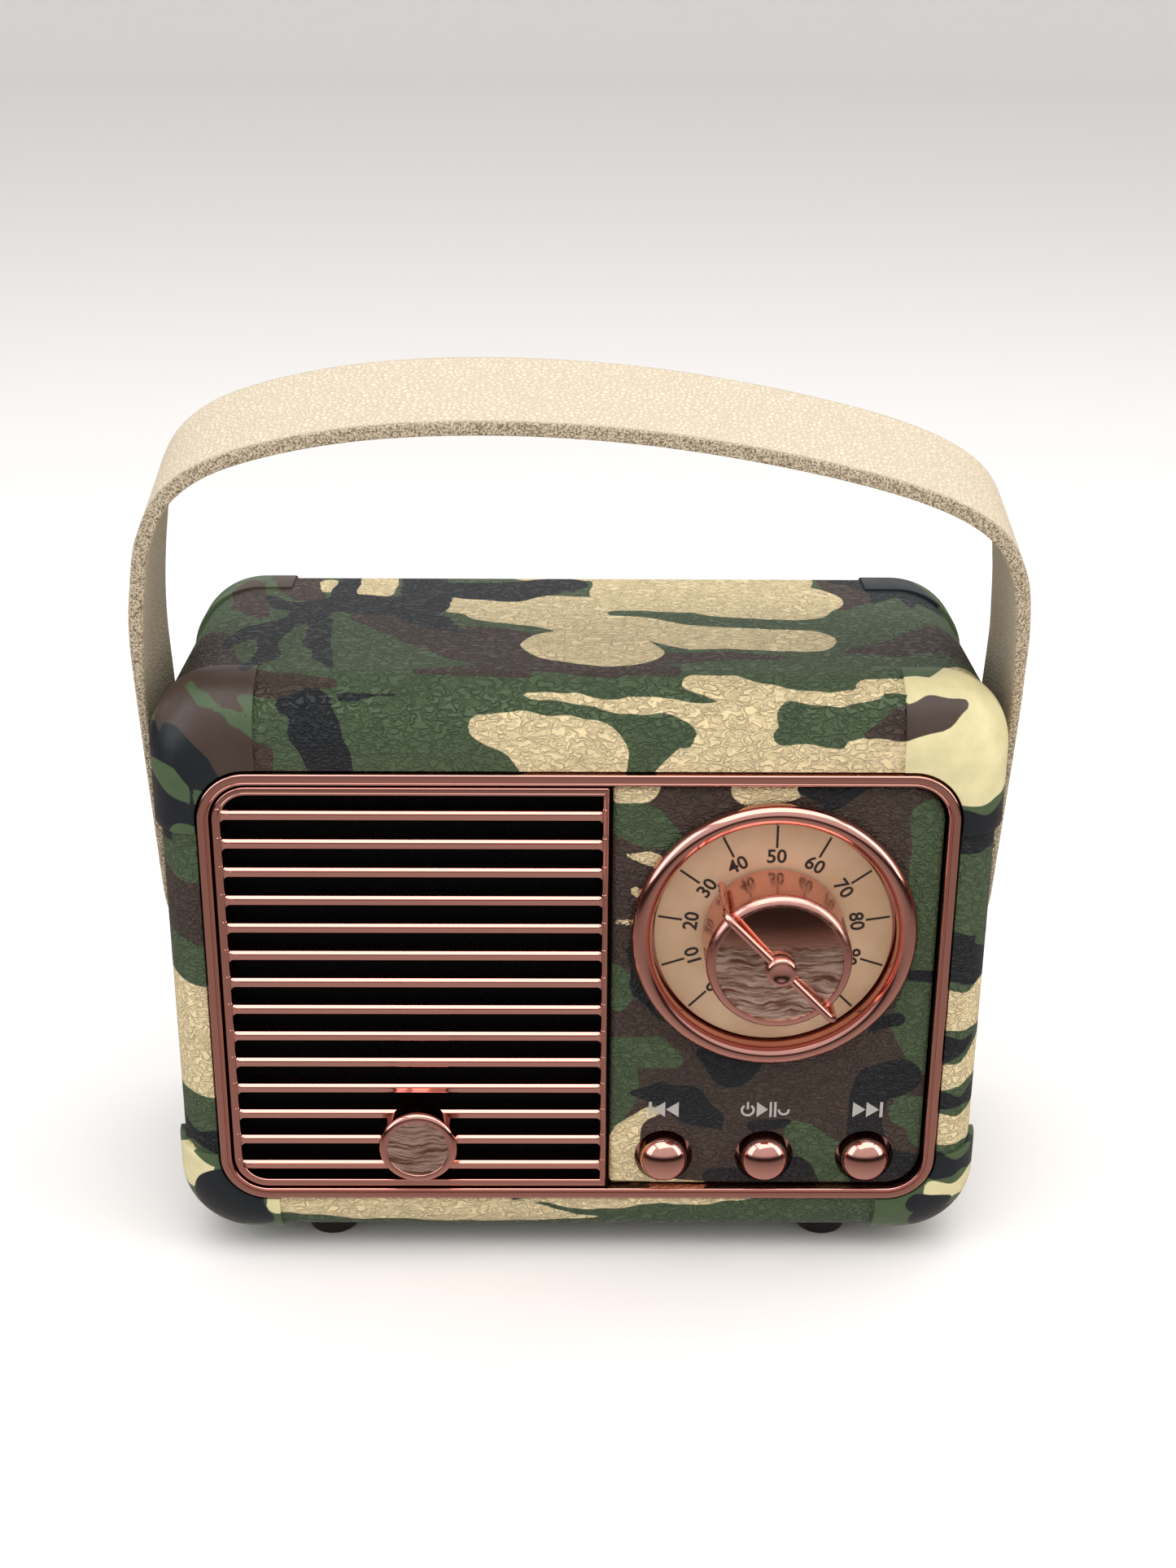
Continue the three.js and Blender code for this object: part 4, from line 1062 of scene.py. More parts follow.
louvre_section = profile(
    (grille_front + 0.5, 0.65),
    arc((grille_front + 0.869, -0.198), (1.0, 1.0), 122, 144, 5),
    arc((grille_front + 0.14, 0.3), (0.13, 0.12), 150, 200, 3),
    (grille_front + 0.17, 0.12),
    (grille_front + 0.2, 0.06),
    (grille_front + 0.24, -0.48),
    arc((grille_front + 0.42, -0.53), (0.16, 0.12), 180, 270, 4),
    (grille_back - 0.5, -LOUVRE_HEIGHT / 2),
    (grille_back - 0.5, LOUVRE_HEIGHT / 2 - 0.02),
)
FLARE = 0.55
slot_left, slot_right = grille_low[0] + RIM, grille_high[0] - SIDE_BAR
ends = FLARE * (1 - np.cos(np.linspace(0, np.pi / 2, 7)))
louvre_x = np.concatenate([[slot_left - 0.5], slot_left + ends, slot_right - ends[::-1], [slot_right + 0.5]])
from_end = np.clip(np.minimum(louvre_x - slot_left, slot_right - louvre_x), 0, FLARE)
flare = FLARE - np.sqrt(FLARE**2 - (FLARE - from_end) ** 2)
middle_z = (grille_low[2] + grille_high[2]) / 2
for index in range(LOUVRES):
    z = middle_z - LOUVRE_DROP + ((LOUVRES - 1) / 2 - index) * PITCH
    path = np.stack([louvre_x, front + 0 * louvre_x, z + 0 * louvre_x], axis=1)
    section = np.repeat(louvre_section[None], len(louvre_x), axis=0)
    section[..., 1] += np.sign(section[..., 1]) * flare[:, None]
    back = np.tile([0, 1.0, 0], (len(path), 1))
    up = np.tile([0, 0, 1.0], (len(path), 1))
    grille_parts.append(carried(path, back, up, section))
grille_piece = make("louvre_grille", together(grille_parts), 32)
dress(grille_piece, rose_gold, "cabinet", ["grille"])

# %% Badge, left plain
badge_low, badge_high = box_mm("grille_badge")
badge_centre = middle_mm("grille_badge")
badge_centre[1] = badge_low[1]
badge_radius = (badge_high[0] - badge_low[0]) / 2
badge_depth = badge_high[1] - badge_low[1]
badge_section = profile(
    (0, 0.14),
    (badge_radius - 1.15, 0.14),
    arc((badge_radius - 0.95, 0.12), (0.2, 0.12), 180, 270, 4),
    arc((badge_radius - 0.75, 0.75), (0.75, 0.75), 270, 360, 10),
    (badge_radius, badge_depth),
    (0, badge_depth),
)
badge_disc = make("badge_disc", turned(badge_section, badge_centre), 30)
dress(badge_disc, rose_gold, "cabinet", ["grille_badge"])
inlay_radius, inlay_place = badge_radius - 1.2, badge_centre + np.array([0, 0.12, 0])
inlay_section = profile((0, -0.02), (inlay_radius, -0.02), (inlay_radius, 0.2), (0, 0.2))
badge_face = make("badge_face", turned(inlay_section, inlay_place, steps=72), 30)
dress(badge_face, badge_figure, "cabinet")

# %% [markdown]
# ## The control panel
#
# The panel is a plate wrapped in the same leatherette, with one large hole for the dial and three for the
# keys. Outlines drawn in from its edge make an even skin all the way to the middle; the rim rolls over where
# the film wraps round it. The holes are cut with a Boolean, and the print is laid on the points that are
# left. The printed counts of edges without a partner should be nought, before and after the cut.

# %% A wrapped plate with holes
def wrapped_plate(name, box, corners, roll, spacing, cutters, back_first=False):
    """A plate between two corners of a box whose front edge rolls over with the given radius. Outlines at
    growing inset cover the front and stop short of the middle, where one face closes them; so does the back.
    The plate and its cutters have to be closed before the holes are cut, or a plug stays behind each hole."""
    low, high = box
    half = min(high[0] - low[0], high[2] - low[2]) / 2
    innermost = half - spacing / 2
    angle = np.linspace(0, np.pi / 2, 6)
    flat_insets = np.arange(roll + spacing, innermost - spacing / 2, spacing)
    insets = np.concatenate([[innermost, 0, 0], roll * (1 - np.cos(angle)), flat_insets])
    thickness = high[1] - low[1]
    depths = np.concatenate([[thickness, thickness, roll], roll * (1 - np.sin(angle))])
    depths = np.concatenate([depths, np.zeros(len(insets) - len(depths))])
    insets = np.append(insets, innermost)
    depths = np.append(depths, 0.0)
    if back_first:
        depths = thickness - depths
    section = np.stack([insets, low[1] - front + depths], axis=1)
    rows = ring_stations(section, low[0], high[0], low[2], high[2], *corners)
    across, upward = int((high[0] - low[0]) / spacing), int((high[2] - low[2]) / spacing)
    plate = make(name, grid(loops(rows, samples(across, upward, 10))))
    before = shut(plate.data) + sum(shut(cutter.data) for cutter in cutters)
    cut_out(plate, cutters)
    after = shut(plate.data)
    print(name, "edges without a partner: before cutting", before, "and after", after)
    return plate


def round_cutter(x, z, radius, steps=72):
    """A round bar along Y to cut a hole with."""
    outline = np.array([(0, -4), (radius, -4), (radius, 8), (0, 8)], float)
    return make("cutter", turned(outline, (x, front, z), steps=steps))


key_nodes = ["key_previous", "key_play", "key_next"]
key_places = [middle_mm(node) for node in key_nodes]
KEY_HOLE, DIAL_HOLE = 3.9, 16.6
panel_cutters = [round_cutter(dial_x, dial_z, DIAL_HOLE)] + [
    round_cutter(place[0], place[2], KEY_HOLE, 48) for place in key_places
]
panel_box = box_mm("control_panel")
panel_piece = wrapped_plate("panel_leatherette", panel_box, (0.6, 4.8), 0.7, 0.6, panel_cutters)
print_inks(panel_piece, "brown", [(ink, on_plane(panel_box[0][1], stops)) for ink, stops in panel_patches])
dress(panel_piece, leatherette, "cabinet", ["control_panel"])

# %% [markdown]
# ## The dial
#
# A domed chromed ring holds a satin plate printed with eleven ticks and the numbers from 0 to 100. The knob
# is a low drum with a drawn face. A wire bow with a round boss crosses it and points at the scale at both
# ends.

# %% Bezel and plate
def at_dial(depth=0.0):
    """The dial's axis at one depth behind the front plane."""
    return np.array([dial_x, front + depth, dial_z])


bezel_section = profile(
    (14.2, 2.4),
    (15.7, 2.4),
    arc((17.05, 0.3), (1.35, 1.4), -180, 0, 16),
    (18.4, 0.6),
    (16.3, 0.6),
    (16.3, 3.2),
    (14.2, 3.2),
)
bezel = make("bezel_ring", turned(bezel_section, at_dial(), steps=192, closed=True), 30)
dress(bezel, rose_gold, "cabinet", ["dial_bezel"])


def champagne_finish():
    """Anodised aluminium in a pale champagne tone, finely brushed round and round, under a clear print
    lacquer."""
    finish, tree, body, in_mm = new_finish("champagne_aluminium", Metallic=0.35, Base_Color=colour("#CFB08C"))
    tree.links.new(spread(tree, noise(tree, in_mm, 2.5, detail=4), 0.42, 0.55), body.inputs["Roughness"])
    shade = blended(tree, spread(tree, noise(tree, in_mm, 0.12), 0, 1), colour("#C7A884"), colour("#DCC0A0"))
    tree.links.new(shade, body.inputs["Base Color"])
    bumped(tree, body, noise(tree, in_mm, 6.0, detail=2), 0.004, 0.5)
    return finish


def ink_finish():
    """Screen-printed ink, nearly black, matt."""
    finish, tree, body, in_mm = new_finish("dial_ink", Base_Color=colour("#2A1F1B"), Roughness=0.55)
    tree.links.new(spread(tree, noise(tree, in_mm, 3.0), 0.5, 0.65), body.inputs["Roughness"])
    return finish


champagne = champagne_finish()
dial_ink = ink_finish()
PLATE_RADIUS, PLATE_BORE, PLATE_FRONT, PLATE_BACK = 15.4, 2.6, 1.3, 2.1
plate_section = profile(
    (PLATE_BORE, PLATE_FRONT),
    (PLATE_RADIUS - 0.1, PLATE_FRONT),
    (PLATE_RADIUS, PLATE_FRONT + 0.1),
    (PLATE_RADIUS, PLATE_BACK),
    (PLATE_BORE, PLATE_BACK),
)
plate = make("printed_plate", turned(plate_section, at_dial(), steps=144, closed=True), 30)
dress(plate, champagne, "cabinet", ["dial_plate"])

# %% Ticks and numbers
TICKS, TICK_STEP = 11, 27
PRINT_DEPTH = 0.02
TICK_HALF_WIDTH, TICK_INNER, TICK_OUTER = 0.15, 11.95, 15.05


def around_dial(u, v, degrees, depth):
    """Places (u across, v outwards) turned clockwise from the top: x = u cos + v sin, z = v cos - u sin."""
    turn = np.radians(degrees)
    x = dial_x + u * np.cos(turn) + v * np.sin(turn)
    z = dial_z - u * np.sin(turn) + v * np.cos(turn)
    return np.stack([x, front + depth + 0 * x, z], axis=-1)


def tick(degrees):
    """One printed line, given a hair of thickness."""
    u = TICK_HALF_WIDTH * np.array([-1.0, 1.0, 1.0, -1.0])
    v = np.array([TICK_INNER, TICK_INNER, TICK_OUTER, TICK_OUTER])
    rings = np.stack(
        [around_dial(u, v, degrees, depth) for depth in (PLATE_FRONT - PRINT_DEPTH, PLATE_FRONT)]
    )
    centre = rings.mean(axis=1, keepdims=True) + 0 * rings
    return grid(np.stack([centre[0], rings[0], rings[1], centre[1]]))


degrees_from_top = (np.arange(TICKS) - (TICKS - 1) / 2) * TICK_STEP
ticks = make("dial_ticks", together([tick(degrees) for degrees in degrees_from_top]), 20)
dress(ticks, dial_ink, "cabinet")

DIGIT_SIZE, DIGIT_RADIUS, DIGIT_BOLD = 2.6, 10.7, 0.05


def lettering(text, size, bold):
    """Text as a mesh: its points as (across, up, thickness) in millimetres, and its faces."""
    curve = bpy.data.curves.new("text", "FONT")
    curve.body = text
    curve.size = size
    curve.offset = bold
    curve.align_x = "CENTER"
    curve.align_y = "CENTER"
    curve.extrude = PRINT_DEPTH / 2
    curve.resolution_u = 3
    holder = bpy.data.objects.new("text", curve)
    bpy.context.scene.collection.objects.link(holder)
    bpy.context.view_layer.update()
    mesh = bpy.data.meshes.new_from_object(holder.evaluated_get(bpy.context.evaluated_depsgraph_get()))
    faces = [list(face.vertices) for face in mesh.polygons]
    bpy.data.objects.remove(holder)
    return points_of(mesh), faces


number_points, number_faces, count = [], [], 0
for index, degrees in enumerate(degrees_from_top):
    points, faces = lettering(str(index * 10), DIGIT_SIZE, DIGIT_BOLD)
    placed = around_dial(points[:, 0], points[:, 1] + DIGIT_RADIUS, degrees, PLATE_FRONT)
    placed[:, 1] -= PRINT_DEPTH / 2 + points[:, 2]
    number_points.append(placed)
    number_faces += [[corner + count for corner in face] for face in faces]
    count += len(points)

numbers = make("dial_numbers", (np.vstack(number_points), number_faces), 20)
dress(numbers, dial_ink, "cabinet")

# %% Knob, face and pointer
KNOB_RADIUS, KNOB_FACE, KNOB_BACK = 9.2, -8.4, 0.9
knob_section = profile(
    (0, KNOB_FACE + 0.9),
    (KNOB_RADIUS - 1.25, KNOB_FACE + 0.9),
    (KNOB_RADIUS - 1.2, KNOB_FACE + 0.75),
    arc((KNOB_RADIUS - 1.25, KNOB_FACE + 1.95), (1.25, 1.25), 272, 360, 14),
    (KNOB_RADIUS, KNOB_BACK - 0.2),
    (KNOB_RADIUS - 0.2, KNOB_BACK),
    (2.3, KNOB_BACK),
    (2.3, -3.3),
    (0, -3.3),
)
knob = make("knob_drum", turned(knob_section, at_dial(), steps=160), 30)
dress(knob, satin_gold, "knob", ["tuning_knob"])
face_radius = KNOB_RADIUS - 1.22
FACE_DOME = 0.85  # the face is slightly domed: this much lower at its rim than in the middle
dome_radius = np.linspace(0, face_radius, 14)
dome = np.stack([dome_radius, FACE_DOME * (dome_radius / face_radius) ** 2], axis=1)
face_section = profile(dome, (face_radius, FACE_DOME + 0.15), (0, FACE_DOME + 0.15))
knob_face = make("knob_face", turned(face_section, at_dial(KNOB_FACE - 0.02), steps=120), 50)
dress(knob_face, knob_figure, "knob")

WIRE, WIRE_ACROSS, WIRE_FRONT, WIRE_END, WIRE_BEND = 0.5, 10.0, -9.2, 0.3, 1.2
POINTER_TURN = -44
wire_path = profile(
    (-WIRE_ACROSS, WIRE_END),
    (-WIRE_ACROSS, -4.0),
    arc((-WIRE_ACROSS + WIRE_BEND, WIRE_FRONT + WIRE_BEND), (WIRE_BEND, WIRE_BEND), 180, 270, 10),
    (0, WIRE_FRONT),
    arc((WIRE_ACROSS - WIRE_BEND, WIRE_FRONT + WIRE_BEND), (WIRE_BEND, WIRE_BEND), 270, 360, 10),
    (WIRE_ACROSS, -4.0),
    (WIRE_ACROSS, WIRE_END),
)
tangent = np.gradient(wire_path, axis=0)
tangent /= np.linalg.norm(tangent, axis=1, keepdims=True)


def in_dial_plane(flat):
    """(along the pointer, depth) as places on the dial."""
    placed = around_dial(0 * flat[:, 0], flat[:, 0], POINTER_TURN, 0)
    placed[:, 1] += flat[:, 1]
    return placed


bow_points = in_dial_plane(wire_path)
normal = np.stack([-tangent[:, 1], tangent[:, 0]], axis=1)
bow_normal = in_dial_plane(normal) - in_dial_plane(0 * normal)
bow_side = np.tile(
    around_dial(np.array([1.0]), np.array([0.0]), POINTER_TURN, 0) - at_dial(), (len(wire_path), 1)
)
circle = arc((0, 0), (WIRE, WIRE), 0, 360, 20)[:-1]
boss_section = profile(
    (0, -9.95),
    (0.75, -9.98),
    (1.1, -10.15),
    arc((1.4, -9.65), (0.55, 0.55), 270, 360, 8),
    (1.95, -8.8),
    (1.85, -8.6),
    (0, -8.6),
)
bow = carried(bow_points, bow_normal, bow_side, circle)
boss = turned(boss_section, at_dial(), steps=64)
pointer = make("pointer_bow", together([bow, boss]), 30)
dress(pointer, rose_gold, "knob", ["knob_pointer"])

# %% [markdown]
# ## Keys and their signs
#
# The keys are chromed pins with domed heads. Under the plate they widen into a collar that keeps them in, and
# a thin stem reaches back to its switch. The signs above them are hot-stamped in silver, the usual ones on
# any player: back, on/off with play and pause, and forward.

# %% Keys
KEY_RADIUS, DOME_HEIGHT, DOME_EDGE = 3.2, 2.3, 0.4
COLLAR_RADIUS, COLLAR_FRONT, COLLAR_BACK = 4.3, 3.2, 4.0
STEM_RADIUS, STEM_END = 1.5, 10.7


def domed_key(place):
    """A key turned about Y: a dome whose height follows a quarter ellipse, a straight side, a collar, a
    stem."""
    section = profile(
        arc((0, DOME_EDGE), (KEY_RADIUS, DOME_HEIGHT), 270, 360, 18),
        (KEY_RADIUS, COLLAR_FRONT),
        (COLLAR_RADIUS, COLLAR_FRONT),
        (COLLAR_RADIUS, COLLAR_BACK),
        (STEM_RADIUS, COLLAR_BACK),
        (STEM_RADIUS, STEM_END),
        (0, STEM_END),
    )
    return turned(section, (place[0], front, place[2]), steps=72)


key_bodies = ["previous_key", "play_key", "next_key"]
for node, place, body in zip(key_nodes, key_places, key_bodies):
    piece = make(node.replace("key", "domed_key"), domed_key(place), 35)
    dress(piece, rose_gold, body, [node])

# %% Signs above the keys
SIGN_Z, SIGN_HEIGHT = 23.4, 2.3
panel_front = panel_box[0][1] - front
sign_front, sign_back = front + panel_front - 0.05, front + panel_front + 0.12


def stamped(outline):
    """A flat outline pressed onto the panel and standing slightly proud of it."""
    return prism(outline, sign_front, sign_back)


def triangle(x, sign, length=1.7):
    """A triangle with its flat side at x, pointing in the sign's direction."""
    half = SIGN_HEIGHT / 2
    return stamped([(x, SIGN_Z - half), (x + sign * length, SIGN_Z), (x, SIGN_Z + half)])


def bar(x, width=0.42, height=SIGN_HEIGHT, raised=0.0):
    """An upright bar, its middle raised above the line of signs."""
    low, high = SIGN_Z + raised - height / 2, SIGN_Z + raised + height / 2
    return stamped([(x, low), (x + width, low), (x + width, high), (x, high)])


def open_ring(x, radius, gap_degrees, thick=0.32):
    """A ring with a gap at its top, made by carrying a small square along an arc."""
    angle = np.radians(np.linspace(90 + gap_degrees, 450 - gap_degrees, 28))
    corners = []
    for size, y in (
        (radius, sign_front), (radius - thick, sign_front), (radius - thick, sign_back), (radius, sign_back)
    ):
        line_x, line_z = x + size * np.cos(angle), SIGN_Z - 0.1 + size * np.sin(angle)
        corners.append(np.stack([line_x, y + 0 * line_x, line_z], axis=1))
    return grid(ended(np.stack(corners, axis=1)))


previous_x, play_x, next_x = [place[0] for place in key_places]
signs = [
    bar(previous_x - 2.1),
    triangle(previous_x + 0.1, -1),
    triangle(previous_x + 1.9, -1),
    open_ring(play_x - 2.4, 0.95, 35),
    bar(play_x - 2.55, 0.3, 1.1, 0.6),
    triangle(play_x - 1.2, 1, 1.5),
    bar(play_x + 0.5, 0.32),
    bar(play_x + 1.1, 0.32),
    open_ring(play_x + 2.4, 0.8, 80),
    triangle(next_x - 1.9, 1),
    triangle(next_x - 0.1, 1),
    bar(next_x + 1.7),
]


def silver_finish():
    """Hot-stamped foil: silver-white, a little rough."""
    finish, tree, body, in_mm = new_finish(
        "silver_foil", Metallic=0.6, Base_Color=colour("#D9D6D2"), Roughness=0.35
    )
    tree.links.new(spread(tree, noise(tree, in_mm, 2.0), 0.3, 0.45), body.inputs["Roughness"])
    return finish


key_signs = make("key_signs", together(signs), 20)
dress(key_signs, silver_finish(), "cabinet")

# %% [markdown]
# ## The strap
#
# The handle is one strip of leather, 18 mm wide, grain side out and suede side in. It runs up from the left
# pivot screw, over the top and down to the right one. Its middle line is a smooth curve through some twenty
# places; its section is a flat bar with soft edges, a little thicker on the top than at the ends. Both ends
# are round about the screws. The strap is made upright and then leans forward with the handle.

# %% The strap's middle line and shape
PIVOT_SCREW = middle_mm("pivot_screw_left")
pivot = np.array([0, PIVOT_SCREW[1], PIVOT_SCREW[2]])
LEAN = math.radians(14)
STRAP_HALF_WIDTH = 9.0
STRAP_STEP = 0.7  # along the middle line
ARM_X = 55.45  # the middle of an arm's thickness
HALF_THIN, THICKER_BY = 0.65, 0.3  # half the thickness at the ends, and what the top adds to it
THICKENS_FROM, THICKENS_OVER = 30, 14  # heights above the pivot
EDGE_ROUNDING = 0.42
strap_places = np.array(
    [
        (-55.45, -9), (-55.45, 8), (-55.4, 24), (-55.3, 33), (-54.9, 40), (-54.0, 46.5), (-52.4, 53.6),
        (-48.6, 60), (-41, 64.4), (-27, 67.6), (-10, 68.5), (8, 67.3), (26, 64.1), (41, 59.8), (49.6, 55),
        (53.4, 49), (54.7, 42), (55.2, 35), (55.45, 28), (55.45, 8), (55.45, -9),
    ]
)


def smooth_line(places, spacing):
    """Catmull-Rom curve through the places, then even steps along its length."""
    ends = np.vstack([2 * places[0] - places[1], places, 2 * places[-1] - places[-2]])
    t = np.linspace(0, 1, 40, endpoint=False)[:, None]
    stretches = []
    for p0, p1, p2, p3 in zip(ends, ends[1:], ends[2:], ends[3:]):
        stretches.append(
            0.5 * (
                2 * p1 + (p2 - p0) * t + (
                    2 * p0 - 5 * p1 + 4 * p2 - p3
                ) * t**2 + (3 * p1 - p0 - 3 * p2 + p3) * t**3
            )
        )
    line = np.vstack(stretches + [places[-1:]])
    length = np.concatenate([[0], np.cumsum(np.linalg.norm(np.diff(line, axis=0), axis=1))])
    even = np.linspace(0, length[-1], int(length[-1] / spacing))
    return np.stack([np.interp(even, length, line[:, 0]), np.interp(even, length, line[:, 1])], axis=1)


middle_line = smooth_line(strap_places, STRAP_STEP)
round_heights = np.cos(np.linspace(0, np.pi / 2, 14))[:-1] * -STRAP_HALF_WIDTH
left_round = np.stack([-ARM_X + 0 * round_heights, round_heights], axis=1)
right_round = np.stack([ARM_X + 0 * round_heights, round_heights], axis=1)[::-1]
above_pivot = middle_line[(middle_line[:, 1] >= 0) | (middle_line[:, 0] == 0)]
middle_line = np.vstack([left_round, above_pivot, right_round])
height = middle_line[:, 1]
round_width = np.sqrt(np.maximum(STRAP_HALF_WIDTH**2 - height**2, 0.3))
half_width = np.where(height < 0, round_width, STRAP_HALF_WIDTH)
share = np.clip((height - THICKENS_FROM) / THICKENS_OVER, 0, 1)
half_thick = HALF_THIN + THICKER_BY * share * share * (3 - 2 * share)

strap_tangent = np.gradient(middle_line, axis=0)
strap_tangent /= np.linalg.norm(strap_tangent, axis=1, keepdims=True)
# points outwards, away from the case
strap_normal = np.stack([-strap_tangent[:, 1], strap_tangent[:, 0]], axis=1)
strap_normal *= np.sign(
    (strap_normal * np.array([1, 0.6]) * (middle_line - [0, 30])).sum(axis=1, keepdims=True)
)


def strap_rings():
    """Rings of the strip: width runs front to back, thickness along the outward normal."""
    a, b, cosine, sine = samples(26, 1, 5)
    bend = np.minimum(EDGE_ROUNDING, half_thick)[:, None]
    wide = a * (half_width[:, None] - bend) + bend * cosine
    thick = b * (half_thick[:, None] - bend) + bend * sine
    swell = 0.06 * np.sin(0.11 * np.arange(len(height)))[:, None] * (1 - a**2)
    x = middle_line[:, :1] + (thick + swell) * strap_normal[:, :1]
    z = middle_line[:, 1:] + (thick + swell) * strap_normal[:, 1:]
    return np.stack([x, wide + 0 * x, z], axis=-1)


rings = strap_rings()
leaned = rings.copy()
leaned[..., 1] = pivot[1] + rings[..., 1] * math.cos(LEAN) - rings[..., 2] * math.sin(LEAN)
leaned[..., 2] = pivot[2] + rings[..., 1] * math.sin(LEAN) + rings[..., 2] * math.cos(LEAN)
strap = make("leather_strap", grid(ended(leaned)), 60)
strap_points = points_of(strap.data) / MM - pivot
upright_y = strap_points[:, 1] * math.cos(LEAN) + strap_points[:, 2] * math.sin(LEAN)
upright_z = -strap_points[:, 1] * math.sin(LEAN) + strap_points[:, 2] * math.cos(LEAN)
line_x, line_z = middle_line[:, 0], middle_line[:, 1]
nearest = ((strap_points[:, :1] - line_x) ** 2 + (upright_z[:, None] - line_z) ** 2).argmin(axis=1)
offset = np.stack([strap_points[:, 0] - line_x[nearest], upright_z - line_z[nearest]], axis=1)
outward = (offset * strap_normal[nearest]).sum(axis=1)
from_edge = half_width[nearest] - np.abs(upright_y)
for name, values in (
    ("outward", outward / half_thick[nearest]),
    ("from_edge", from_edge),
    ("along", nearest * STRAP_STEP),
    ("across", upright_y),
):
    strap.data.attributes.new(name, "FLOAT", "POINT").data.foreach_set("value", values.astype(np.float32))

# %% [markdown]
# ## The leather of the strap
#
# The outer face is finished leather with a pebble grain, the inner face raw suede, and the cut edge shows the
# fibres. Each point of the strap carries how far out it lies in the thickness and how far it is from the
# edge, so one material can tell the three apart.

# %% Strap leather
def strap_finish():
    """Cream corrected-grain leather outside, raw suede inside, and a cut edge where the fibres show: cream
    and dark brown specks side by side, spilling a little way onto both faces. The crevices between the
    grain's pebbles are painted darker, as shade."""
    finish, tree, body, in_mm = new_finish("cream_strap_leather", Roughness=0.6, Specular_IOR_Level=0.35)
    outward = add(tree, "Attribute", attribute_name="outward").outputs["Fac"]
    from_edge = add(tree, "Attribute", attribute_name="from_edge").outputs["Fac"]
    specks = noise(tree, in_mm, 4.2, detail=4, roughness=0.75)
    pores = noise(tree, in_mm, 1.3, detail=4, roughness=0.6)
    grain_side = blended(tree, spread(tree, pores, 0, 1), colour("#DBCDB5"), colour("#EADFCB"))
    cells = add(
        tree, "TexVoronoi", {"Vector": in_mm, "Scale": 1.5}, feature="DISTANCE_TO_EDGE"
    ).outputs["Distance"]
    pebbles = spread(tree, cells, 0, 1, 0.0, 0.28)
    # Painted shade: the crevices between the pebbles get a darker cream, where shade would fall.
    grain_side = blended(tree, pebbles, colour("#C7B99F"), grain_side)
    suede = blended(tree, spread(tree, specks, 0, 1), colour("#8A7E69"), colour("#CABFA9"))
    fibres = blended(tree, spread(tree, specks, 0, 1, 0.42, 0.56), colour("#63533F"), colour("#D2C4A9"))
    ragged = maths(tree, "MULTIPLY_ADD", specks, 2.4, -1.2)
    level = maths(tree, "ADD", outward, ragged)
    outside = spread(tree, level, 0, 1, 0.1, 0.5)
    faces = blended(tree, outside, suede, grain_side)
    rim = maths(tree, "MULTIPLY_ADD", specks, 2.2, -0.75)
    near = maths(tree, "SUBTRACT", from_edge, rim)
    at_edge = spread(tree, near, 1, 0, -0.1, 0.35)
    tree.links.new(blended(tree, at_edge, faces, fibres), body.inputs["Base Color"])
    tree.links.new(spread(tree, outside, 0.95, 0.52, 0, 1), body.inputs["Roughness"])
    height = maths(tree, "MULTIPLY_ADD", specks, 0.8, pebbles)
    bumped(tree, body, height, 0.12, 0.9)
    return finish


dress(strap, strap_finish(), "handle", ["handle_strap"])

# %% [markdown]
# ## Small turned parts
#
# The pivot screws and the feet are plain profiles turned round an axis. The strap has no hole in this model:
# the screw's shaft simply passes through the leather, where it can't be seen.

# %% Pivot screws and feet
def screw_head(node, sign):
    """A pan head on a straight shaft; its head is the outer end, turned about X."""
    low, high = box_mm(node)
    place = (low + high) / 2
    outer = high[0] if sign > 0 else -low[0]
    section = profile(
        (0, outer - 0.1),
        (0.9, outer - 0.1),
        arc((3.2, outer - 0.6), (0.4, 0.6), 90, 0, 6),
        (3.6, outer - 1.1),
        (1.6, outer - 1.1),
        (1.6, 47.7),
        (0, 47.7),
    )
    return turned(section, (0, place[1], place[2]), axis=0, sign=sign, steps=64)


for side, sign in (("left", -1), ("right", 1)):
    piece = make(f"screw_{side}", screw_head(f"pivot_screw_{side}", sign), 30)
    dress(piece, rose_gold, "cabinet", [f"pivot_screw_{side}"])


def plain_finish(name, base, roughness, metallic=0.0, grain_per_mm=2.0, grain_mm=0.01, level=0.5):
    """A single-colour material whose roughness and surface wander a little."""
    finish, tree, body, in_mm = new_finish(
        name, Base_Color=colour(base), Metallic=metallic, **(
            {} if metallic else {"Specular_IOR_Level": level}
        )
    )
    grain = noise(tree, in_mm, grain_per_mm)
    tree.links.new(
        spread(tree, grain, roughness * 0.85, min(roughness * 1.15, 1.0)), body.inputs["Roughness"]
    )
    bumped(tree, body, grain, grain_mm, 0.6)
    return finish


FOOT_TAPER, FOOT_SUNK, FOOT_ROUNDING = 0.7, 0.6, 0.4
rubber = plain_finish("black_rubber", "#171717", 0.75, grain_per_mm=3, grain_mm=0.02, level=0.3)
for node in sorted(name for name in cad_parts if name.startswith("foot_")):
    low, high = box_mm(node)
    place = (low + high) / 2
    top = (high[0] - low[0]) / 2
    bottom = top - FOOT_TAPER
    section = profile(
        (0, high[2] + FOOT_SUNK),
        (top, high[2] + FOOT_SUNK),
        arc((bottom - FOOT_ROUNDING, low[2] + FOOT_ROUNDING), (FOOT_ROUNDING, FOOT_ROUNDING), 0, -90, 5),
        (0, low[2]),
    )
    piece = make(
        node.replace("foot", "rubber_foot"), turned(section, (place[0], place[1], 0), axis=2, steps=48), 30
    )
    dress(piece, rubber, "cabinet", [node])

# %% [markdown]
# ## The back
#
# The rear cover is a second wrapped plate in its recess, held by four small cross-head screws. A black plate
# behind its window carries the sockets: charging, memory card, sound and a status light.

